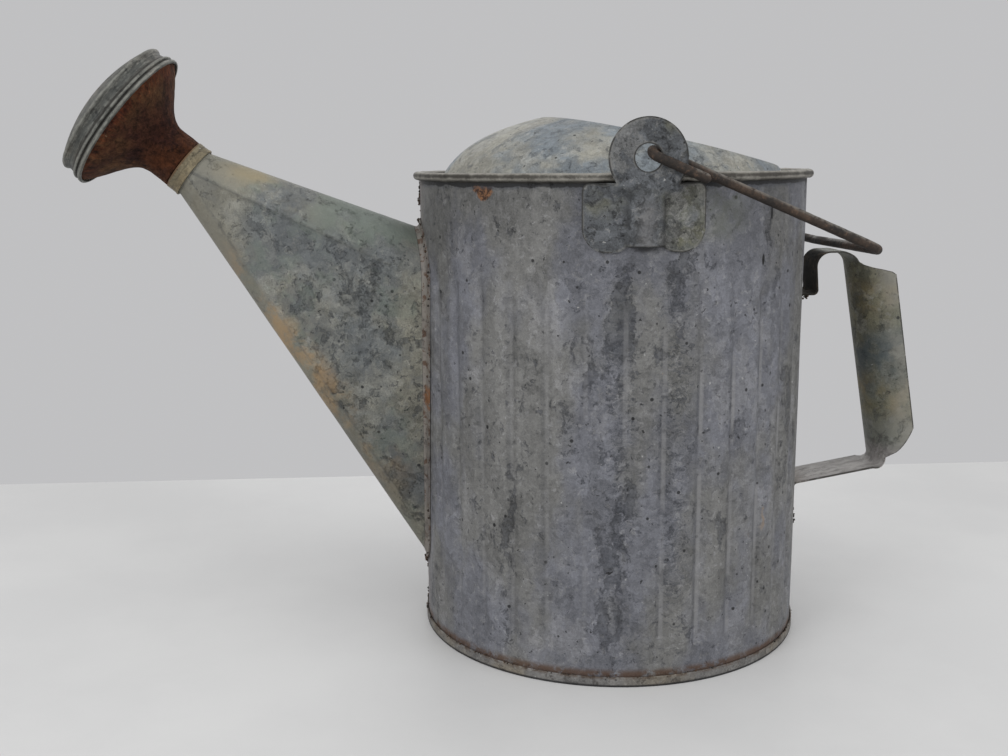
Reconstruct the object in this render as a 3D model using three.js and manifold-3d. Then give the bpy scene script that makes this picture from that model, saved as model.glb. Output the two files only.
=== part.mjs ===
// Galvanised watering can: a fluted sheet body with a hooded top, a flat-sided spout with a rose,
// a strap handle behind and a wire bail. Millimetres, +Z up, floor at z = 0, body axis on Z,
// spout towards -X, strap handle towards +X, bail ears at -Y and +Y.
import * as THREE from "three";
import { mergeVertices } from "three/addons/utils/BufferGeometryUtils.js";
import Module from "manifold-3d";

// Sheet and clearances
const SHEET = 0.8;
const CLEARANCE = 0.3;

// Body wall, its flutes and its curled rim
const BODY_RADIUS = 108;
const BODY_HEIGHT = 262;
const FLUTE_COUNT = 34;
const FLUTE_DEPTH = 1.6;
const FLUTE_LOW = 14;
const FLUTE_BELOW_RIM = 48;
const FLUTE_FADE = 10;
const FLUTES_LEFT_OUT = 1.5;
const RIM_ROLL_RADIUS = 2.2;
const RIM_CURL_END = THREE.MathUtils.degToRad(-100);

// Bottom pan
const PAN_RECESS = 2;
const PAN_FLANGE_HEIGHT = 5.5;

// Hood: a pressed dome in the mouth of the body, cut open on a slant
const HOOD_DOME_RADIUS = 98;
const HOOD_DOME_RISE = 47.5;
const HOOD_DOME_BELOW_RIM = 14;
const HOOD_SEAT_BELOW_RIM = 8;
const HOOD_CUT_FRONT_X = -37;
const HOOD_CUT_FRONT_RISE = 29;
const HOOD_CUT_SLOPE = 0.22;

// Spout: foot on the wall, then flat sides up to a round tip
const SPOUT_FOOT_TOP_BELOW_RIM = 31;
const SPOUT_FOOT_BOTTOM_Z = 40.5;
const SPOUT_FOOT_TOP_RADIUS = 26;
const SPOUT_FOOT_BOTTOM_RADIUS = 15;
const SPOUT_FLANGE = 5;
const SPOUT_OPENING_MARGIN = 7;
const SPOUT_REACH = 123.4;
const SPOUT_TIP_ABOVE_RIM = 0.2;
const SPOUT_TIP_ELEVATION = THREE.MathUtils.degToRad(39.4);
const SPOUT_TIP_RADIUS = 13.7;
const SPOUT_TIP_LENGTH = 7.4;
const SPOUT_SIDE_ANGLE_AT_TIP = THREE.MathUtils.degToRad(16);
const COLLAR_LENGTH = 7.3;
const COLLAR_BEAD = 0.3;

// Rose: cone slipped into the tip, and its perforated cap
const ROSE_TAIL_LENGTH = 8;
const ROSE_NECK_STEP = 0.7;
const ROSE_NECK_LENGTH = 11;
const ROSE_CONE_LENGTH = 36;
const ROSE_FLARE_HOLD = 0.42;
const ROSE_FLARE_SWING = 0.55;
const ROSE_FLARE_LIFT = 0.6;
const ROSE_RADIUS = 41.7;
const ROSE_BAND = 12;
const ROSE_BAND_TAPER = 2;
const ROSE_GROOVE = 1.2;
const ROSE_DOME = 9;
const ROSE_HOLE_RADIUS = 1.1;
const ROSE_HOLE_RINGS = 4;
const ROSE_RING_PITCH = 7.2;

// Bail ears
const EAR_X = -1.5;
const EAR_SHEET = 1;
const EAR_EYE_ABOVE_RIM = 7;
const EAR_EYE_RADIUS = 6.5;
const EAR_DISC_RADIUS = 19;
const EAR_STAND_OFF = 1.8;
const EAR_WING_HALF_WIDTH = 29.9;
const EAR_WING_HEIGHT = 33.4;
const EAR_WING_CORNER = 12;
const EAR_SHOULDER = 4;
const EAR_NECK_FADE = 4;
const EAR_RIB_HALF_WIDTH = 8.7;
const EAR_RIB_RISE = 4.2;
const EAR_RIB_GAP = 3.3;
const EAR_RIB_MOUTH = 2;
const EAR_JOG = 7.5;

// Bail wire
const BAIL_WIRE_RADIUS = 2.4;
const BAIL_BEHIND_BODY = 7;
const BAIL_HOOK_LENGTH = 30;
const BAIL_HOOK_DROP = 3.2;
const BAIL_CORNER = 9;
const BAIL_BOW = 6;
const BAIL_EYE_SLACK = 0.875;
const BAIL_EYE_SIDE = THREE.MathUtils.degToRad(60.3);

// Strap handle
const STRAP_SHEET = 1;
const STRAP_HALF_WIDTH = 12;
const STRAP_ROOT_HALF_WIDTH = 14;
const STRAP_STAND_OFF = 10.5;
const STRAP_TAB_LEAN = 2;
const STRAP_TOP_BELOW_RIM = 47.3;
const STRAP_TONGUE_BELOW_RIM = 71.5;
const STRAP_UPPER_FOOT = 18;
const STRAP_LOWER_FOOT = 22;
const STRAP_BEND = 2.5;
const STRAP_ARCH = 8;
const GRIP_RADIUS = 20.5;
const GRIP_REACH = 30.6;
const GRIP_LEAN = 0.1726;
const GRIP_TOP_BEND = 7;
const GRIP_TOP_DROP = 16;
const GRIP_SHOULDER = 10;
const GRIP_BOTTOM_RISE = 21;
const GRIP_BOTTOM_BEND = 4;
const GRIP_TAPER = 16;
const STRAP_LOW_Z = 78.5;
const STRAP_LOW_SLOPE = 0.176;

// Fineness of the round pieces
const PAN_STEPS = 60;
const HOOD_STEPS = 44;
const ROSE_STEPS = 26;
const COLLAR_STEPS = 24;
const WIRE_SIDES = 10;
const WELD_STEP = 1e-4;

const wasm = await Module();
wasm.setup();

const smooth = THREE.MathUtils.smoothstep;
const lerp = THREE.MathUtils.lerp;

// A closed geometry as a solid that can be joined and cut.
function solidOf(geometry) {
  const bare = geometry.clone();
  bare.deleteAttribute("normal");
  bare.deleteAttribute("uv");
  const merged = mergeVertices(bare, WELD_STEP);
  const triVerts = new Uint32Array(merged.index.array);
  return new wasm.Manifold(
    new wasm.Mesh({ numProp: 3, vertProperties: merged.attributes.position.array, triVerts }),
  );
}

function geometryOf(solid) {
  const mesh = solid.getMesh();
  const geometry = new THREE.BufferGeometry();
  geometry.setAttribute("position", new THREE.BufferAttribute(mesh.vertProperties, mesh.numProp));
  geometry.setIndex(new THREE.BufferAttribute(mesh.triVerts, 1));
  return geometry;
}

// A skin over rings of points. The rings either close into a loop or end in flat caps.
function skin(rings, loop) {
  const around = rings[0].length;
  const positions = rings.flat().flatMap((p) => [p.x, p.y, p.z]);
  const index = [];
  const steps = loop ? rings.length : rings.length - 1;
  for (let i = 0; i < steps; i += 1) {
    const here = i * around;
    const next = ((i + 1) % rings.length) * around;
    for (let j = 0; j < around; j += 1) {
      const k = (j + 1) % around;
      index.push(here + j, here + k, next + k);
      index.push(here + j, next + k, next + j);
    }
  }
  if (!loop) {
    const last = (rings.length - 1) * around;
    const half = around / 2;
    for (let j = 0; j < half - 1; j += 1) {
      const far = around - 1 - j;
      index.push(j, far, far - 1, j, far - 1, j + 1);
      index.push(last + j, last + far - 1, last + far, last + j, last + j + 1, last + far - 1);
    }
  }
  const geometry = new THREE.BufferGeometry();
  geometry.setAttribute("position", new THREE.Float32BufferAttribute(positions, 3));
  geometry.setIndex(index);
  return facingOut(geometry);
}

// Turns the faces of a closed geometry outwards if they point in.
function facingOut(geometry) {
  const p = geometry.attributes.position;
  const index = geometry.index.array;
  const [a, b, c] = [new THREE.Vector3(), new THREE.Vector3(), new THREE.Vector3()];
  let volume = 0;
  for (let i = 0; i < index.length; i += 3) {
    a.fromBufferAttribute(p, index[i]);
    b.fromBufferAttribute(p, index[i + 1]);
    c.fromBufferAttribute(p, index[i + 2]);
    volume += a.dot(b.cross(c));
  }
  if (volume < 0) {
    for (let i = 0; i < index.length; i += 3) {
      [index[i + 1], index[i + 2]] = [index[i + 2], index[i + 1]];
    }
  }
  return geometry;
}

// A solid of revolution about Z from [radius, height] points.
function turned(profile, segments) {
  const points = profile.map(([r, z]) => new THREE.Vector2(r, z));
  const lathe = new THREE.LatheGeometry(points, segments).rotateX(Math.PI / 2);
  lathe.deleteAttribute("normal");
  lathe.deleteAttribute("uv");
  return facingOut(mergeVertices(lathe, WELD_STEP));
}

// A polyline with rounded corners: corners are {point, radius}.
function roundedPath(corners, arcSteps) {
  const path = [];
  corners.forEach(({ point, radius }, i) => {
    if (!radius) {
      path.push(point.clone());
      return;
    }
    const back = corners[i - 1].point.clone().sub(point).normalize();
    const ahead = corners[i + 1].point.clone().sub(point).normalize();
    const half = back.angleTo(ahead) / 2;
    const setback = radius / Math.tan(half);
    const middle = back.clone().add(ahead).normalize();
    const centre = point.clone().addScaledVector(middle, radius / Math.sin(half));
    const from = point.clone().addScaledVector(back, setback).sub(centre);
    const to = point.clone().addScaledVector(ahead, setback).sub(centre);
    const sweep = from.angleTo(to);
    for (let k = 0; k <= arcSteps; k += 1) {
      const t = k / arcSteps;
      const spoke = from.clone().multiplyScalar(Math.sin((1 - t) * sweep));
      spoke.addScaledVector(to, Math.sin(t * sweep)).divideScalar(Math.sin(sweep));
      path.push(centre.clone().add(spoke));
    }
  });
  return path;
}

// Direction of travel at each point of a path.
function tangents(path) {
  return path.map((p, i) => {
    const before = path[Math.max(i - 1, 0)];
    const after = path[Math.min(i + 1, path.length - 1)];
    return after.clone().sub(before).normalize();
  });
}

// Body wall: fluted sheet whose top edge curls outwards round the rim wire.
const WALL_INNER = BODY_RADIUS - SHEET;
const ROLL_CENTRE_RADIUS = WALL_INNER + RIM_ROLL_RADIUS;
const ROLL_CENTRE_Z = BODY_HEIGHT - RIM_ROLL_RADIUS;
const WALL_FOOT_Z = SHEET + CLEARANCE;
const FLUTE_HIGH = BODY_HEIGHT - FLUTE_BELOW_RIM;
const FLUTE_FREE_ANGLE = (FLUTES_LEFT_OUT * 2 * Math.PI) / FLUTE_COUNT;

function fluteDepth(angle, z) {
  const fromSpout = Math.abs(Math.PI - ((angle + 2 * Math.PI) % (2 * Math.PI)));
  if (fromSpout < FLUTE_FREE_ANGLE - WELD_STEP) {
    return 0;
  }
  const rise = smooth(z, FLUTE_LOW, FLUTE_LOW + FLUTE_FADE);
  const fall = 1 - smooth(z, FLUTE_HIGH - FLUTE_FADE, FLUTE_HIGH);
  const wave = (1 + Math.cos(FLUTE_COUNT * fromSpout)) / 2;
  return FLUTE_DEPTH * rise * fall * wave;
}

function bodyWall() {
  const curlSteps = 5;
  const wallHeights = [
    WALL_FOOT_Z,
    FLUTE_LOW,
    FLUTE_LOW + FLUTE_FADE,
    FLUTE_HIGH - FLUTE_FADE,
    FLUTE_HIGH,
    ROLL_CENTRE_Z,
  ];
  const outline = [];
  wallHeights.forEach((z) => outline.push({ r: WALL_INNER, z }));
  for (let k = 1; k <= curlSteps; k += 1) {
    const angle = lerp(Math.PI, RIM_CURL_END, k / curlSteps);
    outline.push(rollPoint(RIM_ROLL_RADIUS, angle));
  }
  for (let k = curlSteps; k >= 1; k -= 1) {
    const angle = lerp(Math.PI, RIM_CURL_END, k / curlSteps);
    outline.push(rollPoint(RIM_ROLL_RADIUS - SHEET, angle));
  }
  wallHeights.toReversed().forEach((z) => outline.push({ r: BODY_RADIUS, z }));
  const columns = FLUTE_COUNT * 3;
  const rings = outline.map(({ r, z }) =>
    Array.from({ length: columns }, (_, j) => {
      const angle = (2 * Math.PI * j) / columns;
      const radius = r - fluteDepth(angle, z);
      return new THREE.Vector3(radius * Math.cos(angle), radius * Math.sin(angle), z);
    }),
  );
  const opening = footPrism(-SPOUT_OPENING_MARGIN);
  return geometryOf(solidOf(skin(rings, true)).subtract(solidOf(opening)));
}

function rollPoint(radius, angle) {
  return {
    r: ROLL_CENTRE_RADIUS + radius * Math.cos(angle),
    z: ROLL_CENTRE_Z + radius * Math.sin(angle),
  };
}

// Rim wire: a ring held inside the curl.
function rimWire() {
  const wireRadius = RIM_ROLL_RADIUS - SHEET - 1.5 * CLEARANCE;
  const ring = new THREE.TorusGeometry(ROLL_CENTRE_RADIUS, wireRadius, WIRE_SIDES / 2, PAN_STEPS);
  return ring.translate(0, 0, ROLL_CENTRE_Z);
}

// Bottom pan: recessed disc whose edge makes a channel for the foot of the wall.
function bottomPan() {
  const channelInner = WALL_INNER - CLEARANCE;
  const channelOuter = BODY_RADIUS + CLEARANCE;
  return turned(
    [
      [0, PAN_RECESS],
      [channelInner - SHEET, PAN_RECESS],
      [channelInner - SHEET, 0],
      [channelOuter + SHEET, 0],
      [channelOuter + SHEET, PAN_FLANGE_HEIGHT],
      [channelOuter, PAN_FLANGE_HEIGHT],
      [channelOuter, SHEET],
      [channelInner, SHEET],
      [channelInner, PAN_RECESS + SHEET],
      [0, PAN_RECESS + SHEET],
    ],
    PAN_STEPS,
  );
}

// Hood: dome with a brim that seats on the wall, cut open behind its crest.
function hood() {
  const arcSteps = 6;
  const centreZ = BODY_HEIGHT - HOOD_DOME_BELOW_RIM;
  const seatZ = BODY_HEIGHT - HOOD_SEAT_BELOW_RIM;
  const dome = (inset, fromZ) => {
    const rise = HOOD_DOME_RISE - inset;
    const start = Math.asin((fromZ - centreZ) / rise);
    return Array.from({ length: arcSteps + 1 }, (_, k) => {
      const t = lerp(start, Math.PI / 2, k / arcSteps);
      const radius = k === arcSteps ? 0 : (HOOD_DOME_RADIUS - inset) * Math.cos(t);
      return [radius, centreZ + rise * Math.sin(t)];
    });
  };
  const brim = WALL_INNER - CLEARANCE;
  const profile = [
    ...dome(SHEET, seatZ).reverse(),
    [brim, seatZ],
    [brim, seatZ + SHEET],
    ...dome(0, seatZ + SHEET),
  ];
  const size = 4 * BODY_RADIUS;
  const cutter = new THREE.BoxGeometry(size, size, size).translate(0, 0, size / 2);
  cutter.rotateY(Math.atan(HOOD_CUT_SLOPE));
  cutter.translate(HOOD_CUT_FRONT_X, 0, BODY_HEIGHT + HOOD_CUT_FRONT_RISE);
  return geometryOf(solidOf(turned(profile, HOOD_STEPS)).subtract(solidOf(cutter)));
}

// The foot of the spout is the hull of a large circle above a small one. Each entry holds the
// outward direction at the foot and the matching direction at the round tip, from straight up.
const FOOT_TOP_CENTRE_Z = BODY_HEIGHT - SPOUT_FOOT_TOP_BELOW_RIM - SPOUT_FOOT_TOP_RADIUS;
const FOOT_BOTTOM_CENTRE_Z = SPOUT_FOOT_BOTTOM_Z + SPOUT_FOOT_BOTTOM_RADIUS;
const FOOT_SIDE_ANGLE = Math.acos(
  (SPOUT_FOOT_BOTTOM_RADIUS - SPOUT_FOOT_TOP_RADIUS) / (FOOT_TOP_CENTRE_Z - FOOT_BOTTOM_CENTRE_Z),
);

function footColumns() {
  const arcSteps = 5;
  const flatSteps = 3;
  const tipGap = SPOUT_SIDE_ANGLE_AT_TIP / 2;
  const columns = [];
  for (let k = 0; k < arcSteps; k += 1) {
    const t = k / arcSteps;
    columns.push({ foot: t * FOOT_SIDE_ANGLE, share: 0, tip: t * (FOOT_SIDE_ANGLE - tipGap) });
  }
  for (let k = 0; k <= flatSteps; k += 1) {
    const share = k / flatSteps;
    const tip = FOOT_SIDE_ANGLE + lerp(-tipGap, tipGap, share);
    columns.push({ foot: FOOT_SIDE_ANGLE, share, tip });
  }
  for (let k = 1; k <= arcSteps; k += 1) {
    const t = k / arcSteps;
    const foot = lerp(FOOT_SIDE_ANGLE, Math.PI, t);
    columns.push({ foot, share: 1, tip: lerp(FOOT_SIDE_ANGLE + tipGap, Math.PI, t) });
  }
  const mirrored = columns
    .slice(1, -1)
    .reverse()
    .map(({ foot, share, tip }) => ({ foot: -foot, share, tip: -tip }));
  return [...columns, ...mirrored];
}

// A point of the foot's outline. share runs from the upper circle to the lower one.
function footOutline({ foot, share }, offset) {
  const radius = lerp(SPOUT_FOOT_TOP_RADIUS, SPOUT_FOOT_BOTTOM_RADIUS, share) + offset;
  const centreZ = lerp(FOOT_TOP_CENTRE_Z, FOOT_BOTTOM_CENTRE_Z, share);
  return { y: radius * Math.sin(foot), z: centreZ + radius * Math.cos(foot) };
}

function footPoint(column, offset, cylinderRadius) {
  const { y, z } = footOutline(column, offset);
  return new THREE.Vector3(-Math.sqrt(cylinderRadius ** 2 - y ** 2), y, z);
}

// The foot's outline pushed through the wall.
function footPrism(offset) {
  const columns = footColumns();
  const rings = [BODY_RADIUS / 2, 2 * BODY_RADIUS].map((x) =>
    columns.map((column) => {
      const { y, z } = footOutline(column, offset);
      return new THREE.Vector3(-x, y, z);
    }),
  );
  return skin(rings, false);
}

const TIP_AXIS = new THREE.Vector3(-Math.cos(SPOUT_TIP_ELEVATION), 0, Math.sin(SPOUT_TIP_ELEVATION));
const TIP_UP = new THREE.Vector3(Math.sin(SPOUT_TIP_ELEVATION), 0, Math.cos(SPOUT_TIP_ELEVATION));
const TIP_CENTRE = new THREE.Vector3(-BODY_RADIUS - SPOUT_REACH, 0, BODY_HEIGHT + SPOUT_TIP_ABOVE_RIM);

function tipPoint({ tip }, radius, along) {
  const point = TIP_CENTRE.clone().addScaledVector(TIP_AXIS, along);
  point.addScaledVector(TIP_UP, radius * Math.cos(tip));
  point.y += radius * Math.sin(tip);
  return point;
}

// Spout: one sheet from the flange on the wall to the round tip.
function spout() {
  const lengthSteps = 4;
  const columns = footColumns();
  const flangeUnder = BODY_RADIUS + CLEARANCE;
  const flangeTop = flangeUnder + SHEET;
  const side = (offset, cylinderRadius) => {
    const tipRadius = SPOUT_TIP_RADIUS + offset;
    const rings = [columns.map((c) => tipPoint(c, tipRadius, SPOUT_TIP_LENGTH))];
    for (let k = 0; k <= lengthSteps; k += 1) {
      rings.push(
        columns.map((c) => {
          const from = tipPoint(c, tipRadius, 0);
          return from.lerp(footPoint(c, offset, cylinderRadius), k / lengthSteps);
        }),
      );
    }
    return rings;
  };
  const rings = [
    ...side(-SHEET, flangeUnder),
    columns.map((c) => footPoint(c, SPOUT_FLANGE, flangeUnder)),
    columns.map((c) => footPoint(c, SPOUT_FLANGE, flangeTop)),
    ...side(0, flangeTop).reverse(),
  ];
  return skin(rings, true);
}

// Collar and rose are turned about the tip's axis, along local +Z from the tip's centre.
const ROSE_START = SPOUT_TIP_LENGTH + 2 * CLEARANCE;
const ROSE_NECK_RADIUS = SPOUT_TIP_RADIUS + ROSE_NECK_STEP;
const ROSE_BACK = ROSE_START + ROSE_CONE_LENGTH;

function spoutCollar() {
  const inner = SPOUT_TIP_RADIUS + CLEARANCE;
  const start = SPOUT_TIP_LENGTH + CLEARANCE - COLLAR_LENGTH;
  const end = start + COLLAR_LENGTH;
  const closed = [
    [inner, start],
    [inner + SHEET + COLLAR_BEAD, start],
    [inner + SHEET + COLLAR_BEAD, start + SHEET],
    [inner + SHEET, start + 2 * SHEET],
    [inner + SHEET, end],
    [inner, end],
    [inner, start],
  ];
  return turned(closed, COLLAR_STEPS);
}

function roseCone() {
  const flareSteps = 6;
  const tail = SPOUT_TIP_RADIUS - SHEET - CLEARANCE;
  const neckEnd = ROSE_START + ROSE_NECK_LENGTH;
  const rim = ROSE_RADIUS - SHEET - CLEARANCE;
  const flare = new THREE.CubicBezierCurve(
    new THREE.Vector2(ROSE_NECK_RADIUS, neckEnd),
    new THREE.Vector2(ROSE_NECK_RADIUS, lerp(neckEnd, ROSE_BACK, ROSE_FLARE_HOLD)),
    new THREE.Vector2(
      lerp(ROSE_NECK_RADIUS, rim, ROSE_FLARE_SWING),
      lerp(neckEnd, ROSE_BACK, ROSE_FLARE_LIFT),
    ),
    new THREE.Vector2(rim, ROSE_BACK + SHEET),
  ).getPoints(flareSteps);
  const outer = [
    [tail, -ROSE_TAIL_LENGTH],
    [tail, ROSE_START],
    [ROSE_NECK_RADIUS, ROSE_START],
    ...flare.map((p) => [p.x, p.y]),
  ];
  const inner = [
    ...flare.toReversed().map((p) => [p.x - SHEET, p.y + SHEET / 2]),
    [ROSE_NECK_RADIUS - SHEET, ROSE_START + SHEET],
    [tail - SHEET, ROSE_START + SHEET],
    [tail - SHEET, -ROSE_TAIL_LENGTH],
    [tail, -ROSE_TAIL_LENGTH],
  ];
  return turned([...outer, ...inner], ROSE_STEPS);
}

// Rose face: beaded band round a domed plate with rings of spray holes.
function roseFace() {
  const front = ROSE_BACK + ROSE_BAND;
  const frontRadius = ROSE_RADIUS - ROSE_BAND_TAPER;
  const [lip, hollow, bead, lastHollow] = [0.2, 0.35, 0.55, 0.75];
  const band = [
    [ROSE_RADIUS, ROSE_BACK - SHEET],
    [ROSE_RADIUS, ROSE_BACK + lip * ROSE_BAND],
    [ROSE_RADIUS - ROSE_GROOVE, ROSE_BACK + hollow * ROSE_BAND],
    [ROSE_RADIUS - SHEET, ROSE_BACK + bead * ROSE_BAND],
    [ROSE_RADIUS - ROSE_GROOVE - SHEET, ROSE_BACK + lastHollow * ROSE_BAND],
    [frontRadius, front],
  ];
  const sphere = (frontRadius ** 2 + ROSE_DOME ** 2) / (2 * ROSE_DOME);
  const domeSteps = 3;
  const dome = Array.from({ length: domeSteps }, (_, k) => {
    const r = frontRadius * (1 - (k + 1) / domeSteps);
    return [r, front + ROSE_DOME - sphere + Math.sqrt(sphere ** 2 - r ** 2)];
  });
  const outer = [...band, ...dome];
  const inner = [
    ...dome.toReversed().map(([r, z]) => [r, z - SHEET]),
    ...band.toReversed().map(([r, z], k) => [r - SHEET, k === 0 ? z - SHEET : z]),
  ];
  const cap = turned([...inner, ...outer], ROSE_STEPS);
  let solid = solidOf(cap);
  const sides = 5;
  for (let ring = 0; ring <= ROSE_HOLE_RINGS; ring += 1) {
    const count = Math.max(1, 6 * ring);
    for (let k = 0; k < count; k += 1) {
      const angle = (2 * Math.PI * (k + ring / 2)) / count;
      const drill = new THREE.CylinderGeometry(ROSE_HOLE_RADIUS, ROSE_HOLE_RADIUS, 3 * ROSE_DOME, sides);
      drill.rotateX(Math.PI / 2);
      const reach = ring * ROSE_RING_PITCH;
      drill.translate(reach * Math.cos(angle), reach * Math.sin(angle), front + ROSE_DOME);
      solid = solid.subtract(solidOf(drill));
    }
  }
  return geometryOf(solid);
}

// Ear: pressed plate. Its wings lie on the wall under the rim, its disc stands outside the rim,
// and a half-round rib stiffens the way between them.
const EYE_Z = BODY_HEIGHT + EAR_EYE_ABOVE_RIM;
const EAR_SEAT_RADIUS = BODY_RADIUS + CLEARANCE;
const EAR_DISC_INNER = ROLL_CENTRE_RADIUS + RIM_ROLL_RADIUS + EAR_STAND_OFF;
const EAR_WING_TOP_Z = BODY_HEIGHT - 2 * RIM_ROLL_RADIUS - CLEARANCE;
const EAR_WING_BOTTOM_Z = EAR_WING_TOP_Z - EAR_WING_HEIGHT;
const EAR_NECK_HALF_WIDTH = Math.sqrt(EAR_DISC_RADIUS ** 2 - (EYE_Z - EAR_WING_TOP_Z) ** 2);

// Distance of the plate's inner face from the plane of the can's axis.
function earFace(x, z) {
  const wall = Math.sqrt(EAR_SEAT_RADIUS ** 2 - (x + EAR_X) ** 2);
  const past = smooth(Math.abs(x), EAR_NECK_HALF_WIDTH, EAR_NECK_HALF_WIDTH + EAR_NECK_FADE);
  const onWing = z < EAR_WING_TOP_Z ? past : 0;
  const up = (1 - onWing) * smooth(z, EAR_WING_TOP_Z - EAR_JOG, EAR_WING_TOP_Z - CLEARANCE);
  const rib = EAR_RIB_RISE * Math.sqrt(Math.max(0, 1 - (x / EAR_RIB_HALF_WIDTH) ** 2));
  return lerp(wall + rib, EAR_DISC_INNER, up);
}

function earOutline() {
  const w = EAR_WING_HALF_WIDTH;
  const bottom = EAR_WING_BOTTOM_Z;
  const top = EAR_WING_TOP_Z;
  const shoulder = EAR_SHOULDER;
  const corner = EAR_WING_CORNER;
  const rib = EAR_RIB_HALF_WIDTH;
  const neckAngle = Math.asin((EYE_Z - top) / EAR_DISC_RADIUS);
  const shape = new THREE.Shape();
  shape.moveTo(rib, bottom + EAR_RIB_GAP);
  shape.quadraticCurveTo(rib + EAR_RIB_MOUTH, bottom, w - corner, bottom);
  shape.absarc(w - corner, bottom + corner, corner, -Math.PI / 2, 0, false);
  shape.absarc(w - shoulder, top - shoulder, shoulder, 0, Math.PI / 2, false);
  shape.absarc(0, EYE_Z, EAR_DISC_RADIUS, -neckAngle, Math.PI + neckAngle, false);
  shape.absarc(-w + shoulder, top - shoulder, shoulder, Math.PI / 2, Math.PI, false);
  shape.absarc(-w + corner, bottom + corner, corner, Math.PI, 1.5 * Math.PI, false);
  shape.quadraticCurveTo(-rib - EAR_RIB_MOUTH, bottom, -rib, bottom + EAR_RIB_GAP);
  const eye = new THREE.Path();
  eye.absarc(0, EYE_Z, EAR_EYE_RADIUS, 0, 2 * Math.PI, true);
  shape.holes.push(eye);
  return shape;
}

function ear(side) {
  const margin = 2;
  const jogSteps = 3;
  const ribShares = [0, 0.45, 0.8, 1];
  const half = ribShares.map((t) => t * EAR_RIB_HALF_WIDTH);
  half.push(EAR_NECK_HALF_WIDTH, EAR_NECK_HALF_WIDTH + EAR_NECK_FADE, EAR_WING_HALF_WIDTH + margin);
  const xs = [...half.slice(1).toReversed().map((x) => -x), ...half];
  const zs = [EAR_WING_BOTTOM_Z - margin, EAR_WING_TOP_Z - EAR_JOG];
  for (let k = 1; k <= jogSteps; k += 1) {
    zs.push(lerp(EAR_WING_TOP_Z - EAR_JOG, EAR_WING_TOP_Z - CLEARANCE, k / jogSteps));
  }
  zs.push(EAR_WING_TOP_Z + CLEARANCE, EYE_Z + EAR_DISC_RADIUS + margin);
  const place = (x, z, thick) => new THREE.Vector3(EAR_X + x, side * (earFace(x, z) + thick), z);
  const rings = zs.map((z) => [
    ...xs.map((x) => place(x, z, 0)),
    ...xs.toReversed().map((x) => place(x, z, EAR_SHEET)),
  ]);
  const blank = new THREE.ExtrudeGeometry(earOutline(), {
    depth: BODY_RADIUS,
    bevelEnabled: false,
    curveSegments: 6,
  });
  blank.rotateX(Math.PI / 2);
  blank.translate(EAR_X, (side + 0.5) * BODY_RADIUS, 0);
  return geometryOf(solidOf(skin(rings, false)).intersect(solidOf(blank)));
}

// Bail: one wire. Each end passes out through an ear and is folded back along its arm.
const BAIL_ARM_Y = EAR_DISC_INNER - CLEARANCE - BAIL_WIRE_RADIUS;
const BAIL_HOOK_Y = EAR_DISC_INNER + EAR_SHEET + CLEARANCE + BAIL_WIRE_RADIUS;
const BAIL_OFF_CENTRE = EAR_EYE_RADIUS - BAIL_WIRE_RADIUS - BAIL_EYE_SLACK;
const BAIL_PIVOT_X = EAR_X + BAIL_OFF_CENTRE * Math.cos(BAIL_EYE_SIDE);
const BAIL_PIVOT_Z = EYE_Z + BAIL_OFF_CENTRE * Math.sin(BAIL_EYE_SIDE);

// Direction of the arms where they come to rest on the rim roll behind the ears.
function restingArm(inside) {
  const apart = RIM_ROLL_RADIUS + BAIL_WIRE_RADIUS + CLEARANCE;
  const steps = 90;
  const rim = Array.from({ length: steps }, (_, k) => {
    const angle = (k / steps) * (Math.PI / 2);
    const [x, y] = [Math.cos(angle) * ROLL_CENTRE_RADIUS, Math.sin(angle) * ROLL_CENTRE_RADIUS];
    return new THREE.Vector3(x, y, ROLL_CENTRE_Z).sub(inside);
  });
  const step = THREE.MathUtils.degToRad(0.1);
  const along = new THREE.Vector3();
  let droop = Math.PI / 4;
  do {
    droop -= step;
    along.set(Math.cos(droop), 0, -Math.sin(droop));
  } while (rim.some((p) => p.clone().cross(along).length() < apart));
  return along;
}

function bailWire() {
  const turn = (BAIL_HOOK_Y - BAIL_ARM_Y) / 2;
  const inside = new THREE.Vector3(BAIL_PIVOT_X, BAIL_ARM_Y, BAIL_PIVOT_Z + BAIL_HOOK_DROP / 2);
  const outside = new THREE.Vector3(BAIL_PIVOT_X, BAIL_HOOK_Y, BAIL_PIVOT_Z - BAIL_HOOK_DROP / 2);
  const along = restingArm(inside);
  const reach = (BODY_RADIUS + BAIL_BEHIND_BODY - inside.x) / along.x;
  const corners = [
    { point: outside.clone().addScaledVector(along, BAIL_HOOK_LENGTH) },
    { point: outside, radius: turn },
    { point: inside, radius: turn },
    { point: inside.clone().addScaledVector(along, reach), radius: BAIL_CORNER },
    { point: new THREE.Vector3(inside.x, 0, inside.z).addScaledVector(along, reach + BAIL_BOW) },
  ];
  const half = roundedPath(corners, 5);
  const mirrored = half
    .slice(0, -1)
    .reverse()
    .map((p) => new THREE.Vector3(p.x, -p.y, p.z));
  return skin(wireRings([...half, ...mirrored], BAIL_WIRE_RADIUS, WIRE_SIDES), false);
}

// Round sections along a path, each turned from the one before without twist.
function wireRings(path, radius, sides) {
  const directions = tangents(path);
  const across = new THREE.Vector3(0, 0, 1).cross(directions[0]).normalize();
  return path.map((point, i) => {
    if (i > 0) {
      across.applyQuaternion(new THREE.Quaternion().setFromUnitVectors(directions[i - 1], directions[i]));
    }
    const up = directions[i].clone().cross(across);
    return Array.from({ length: sides }, (_, k) => {
      const angle = (2 * Math.PI * k) / sides;
      const spoke = across.clone().multiplyScalar(Math.cos(angle)).addScaledVector(up, Math.sin(angle));
      return point.clone().addScaledVector(spoke, radius);
    });
  });
}

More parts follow.
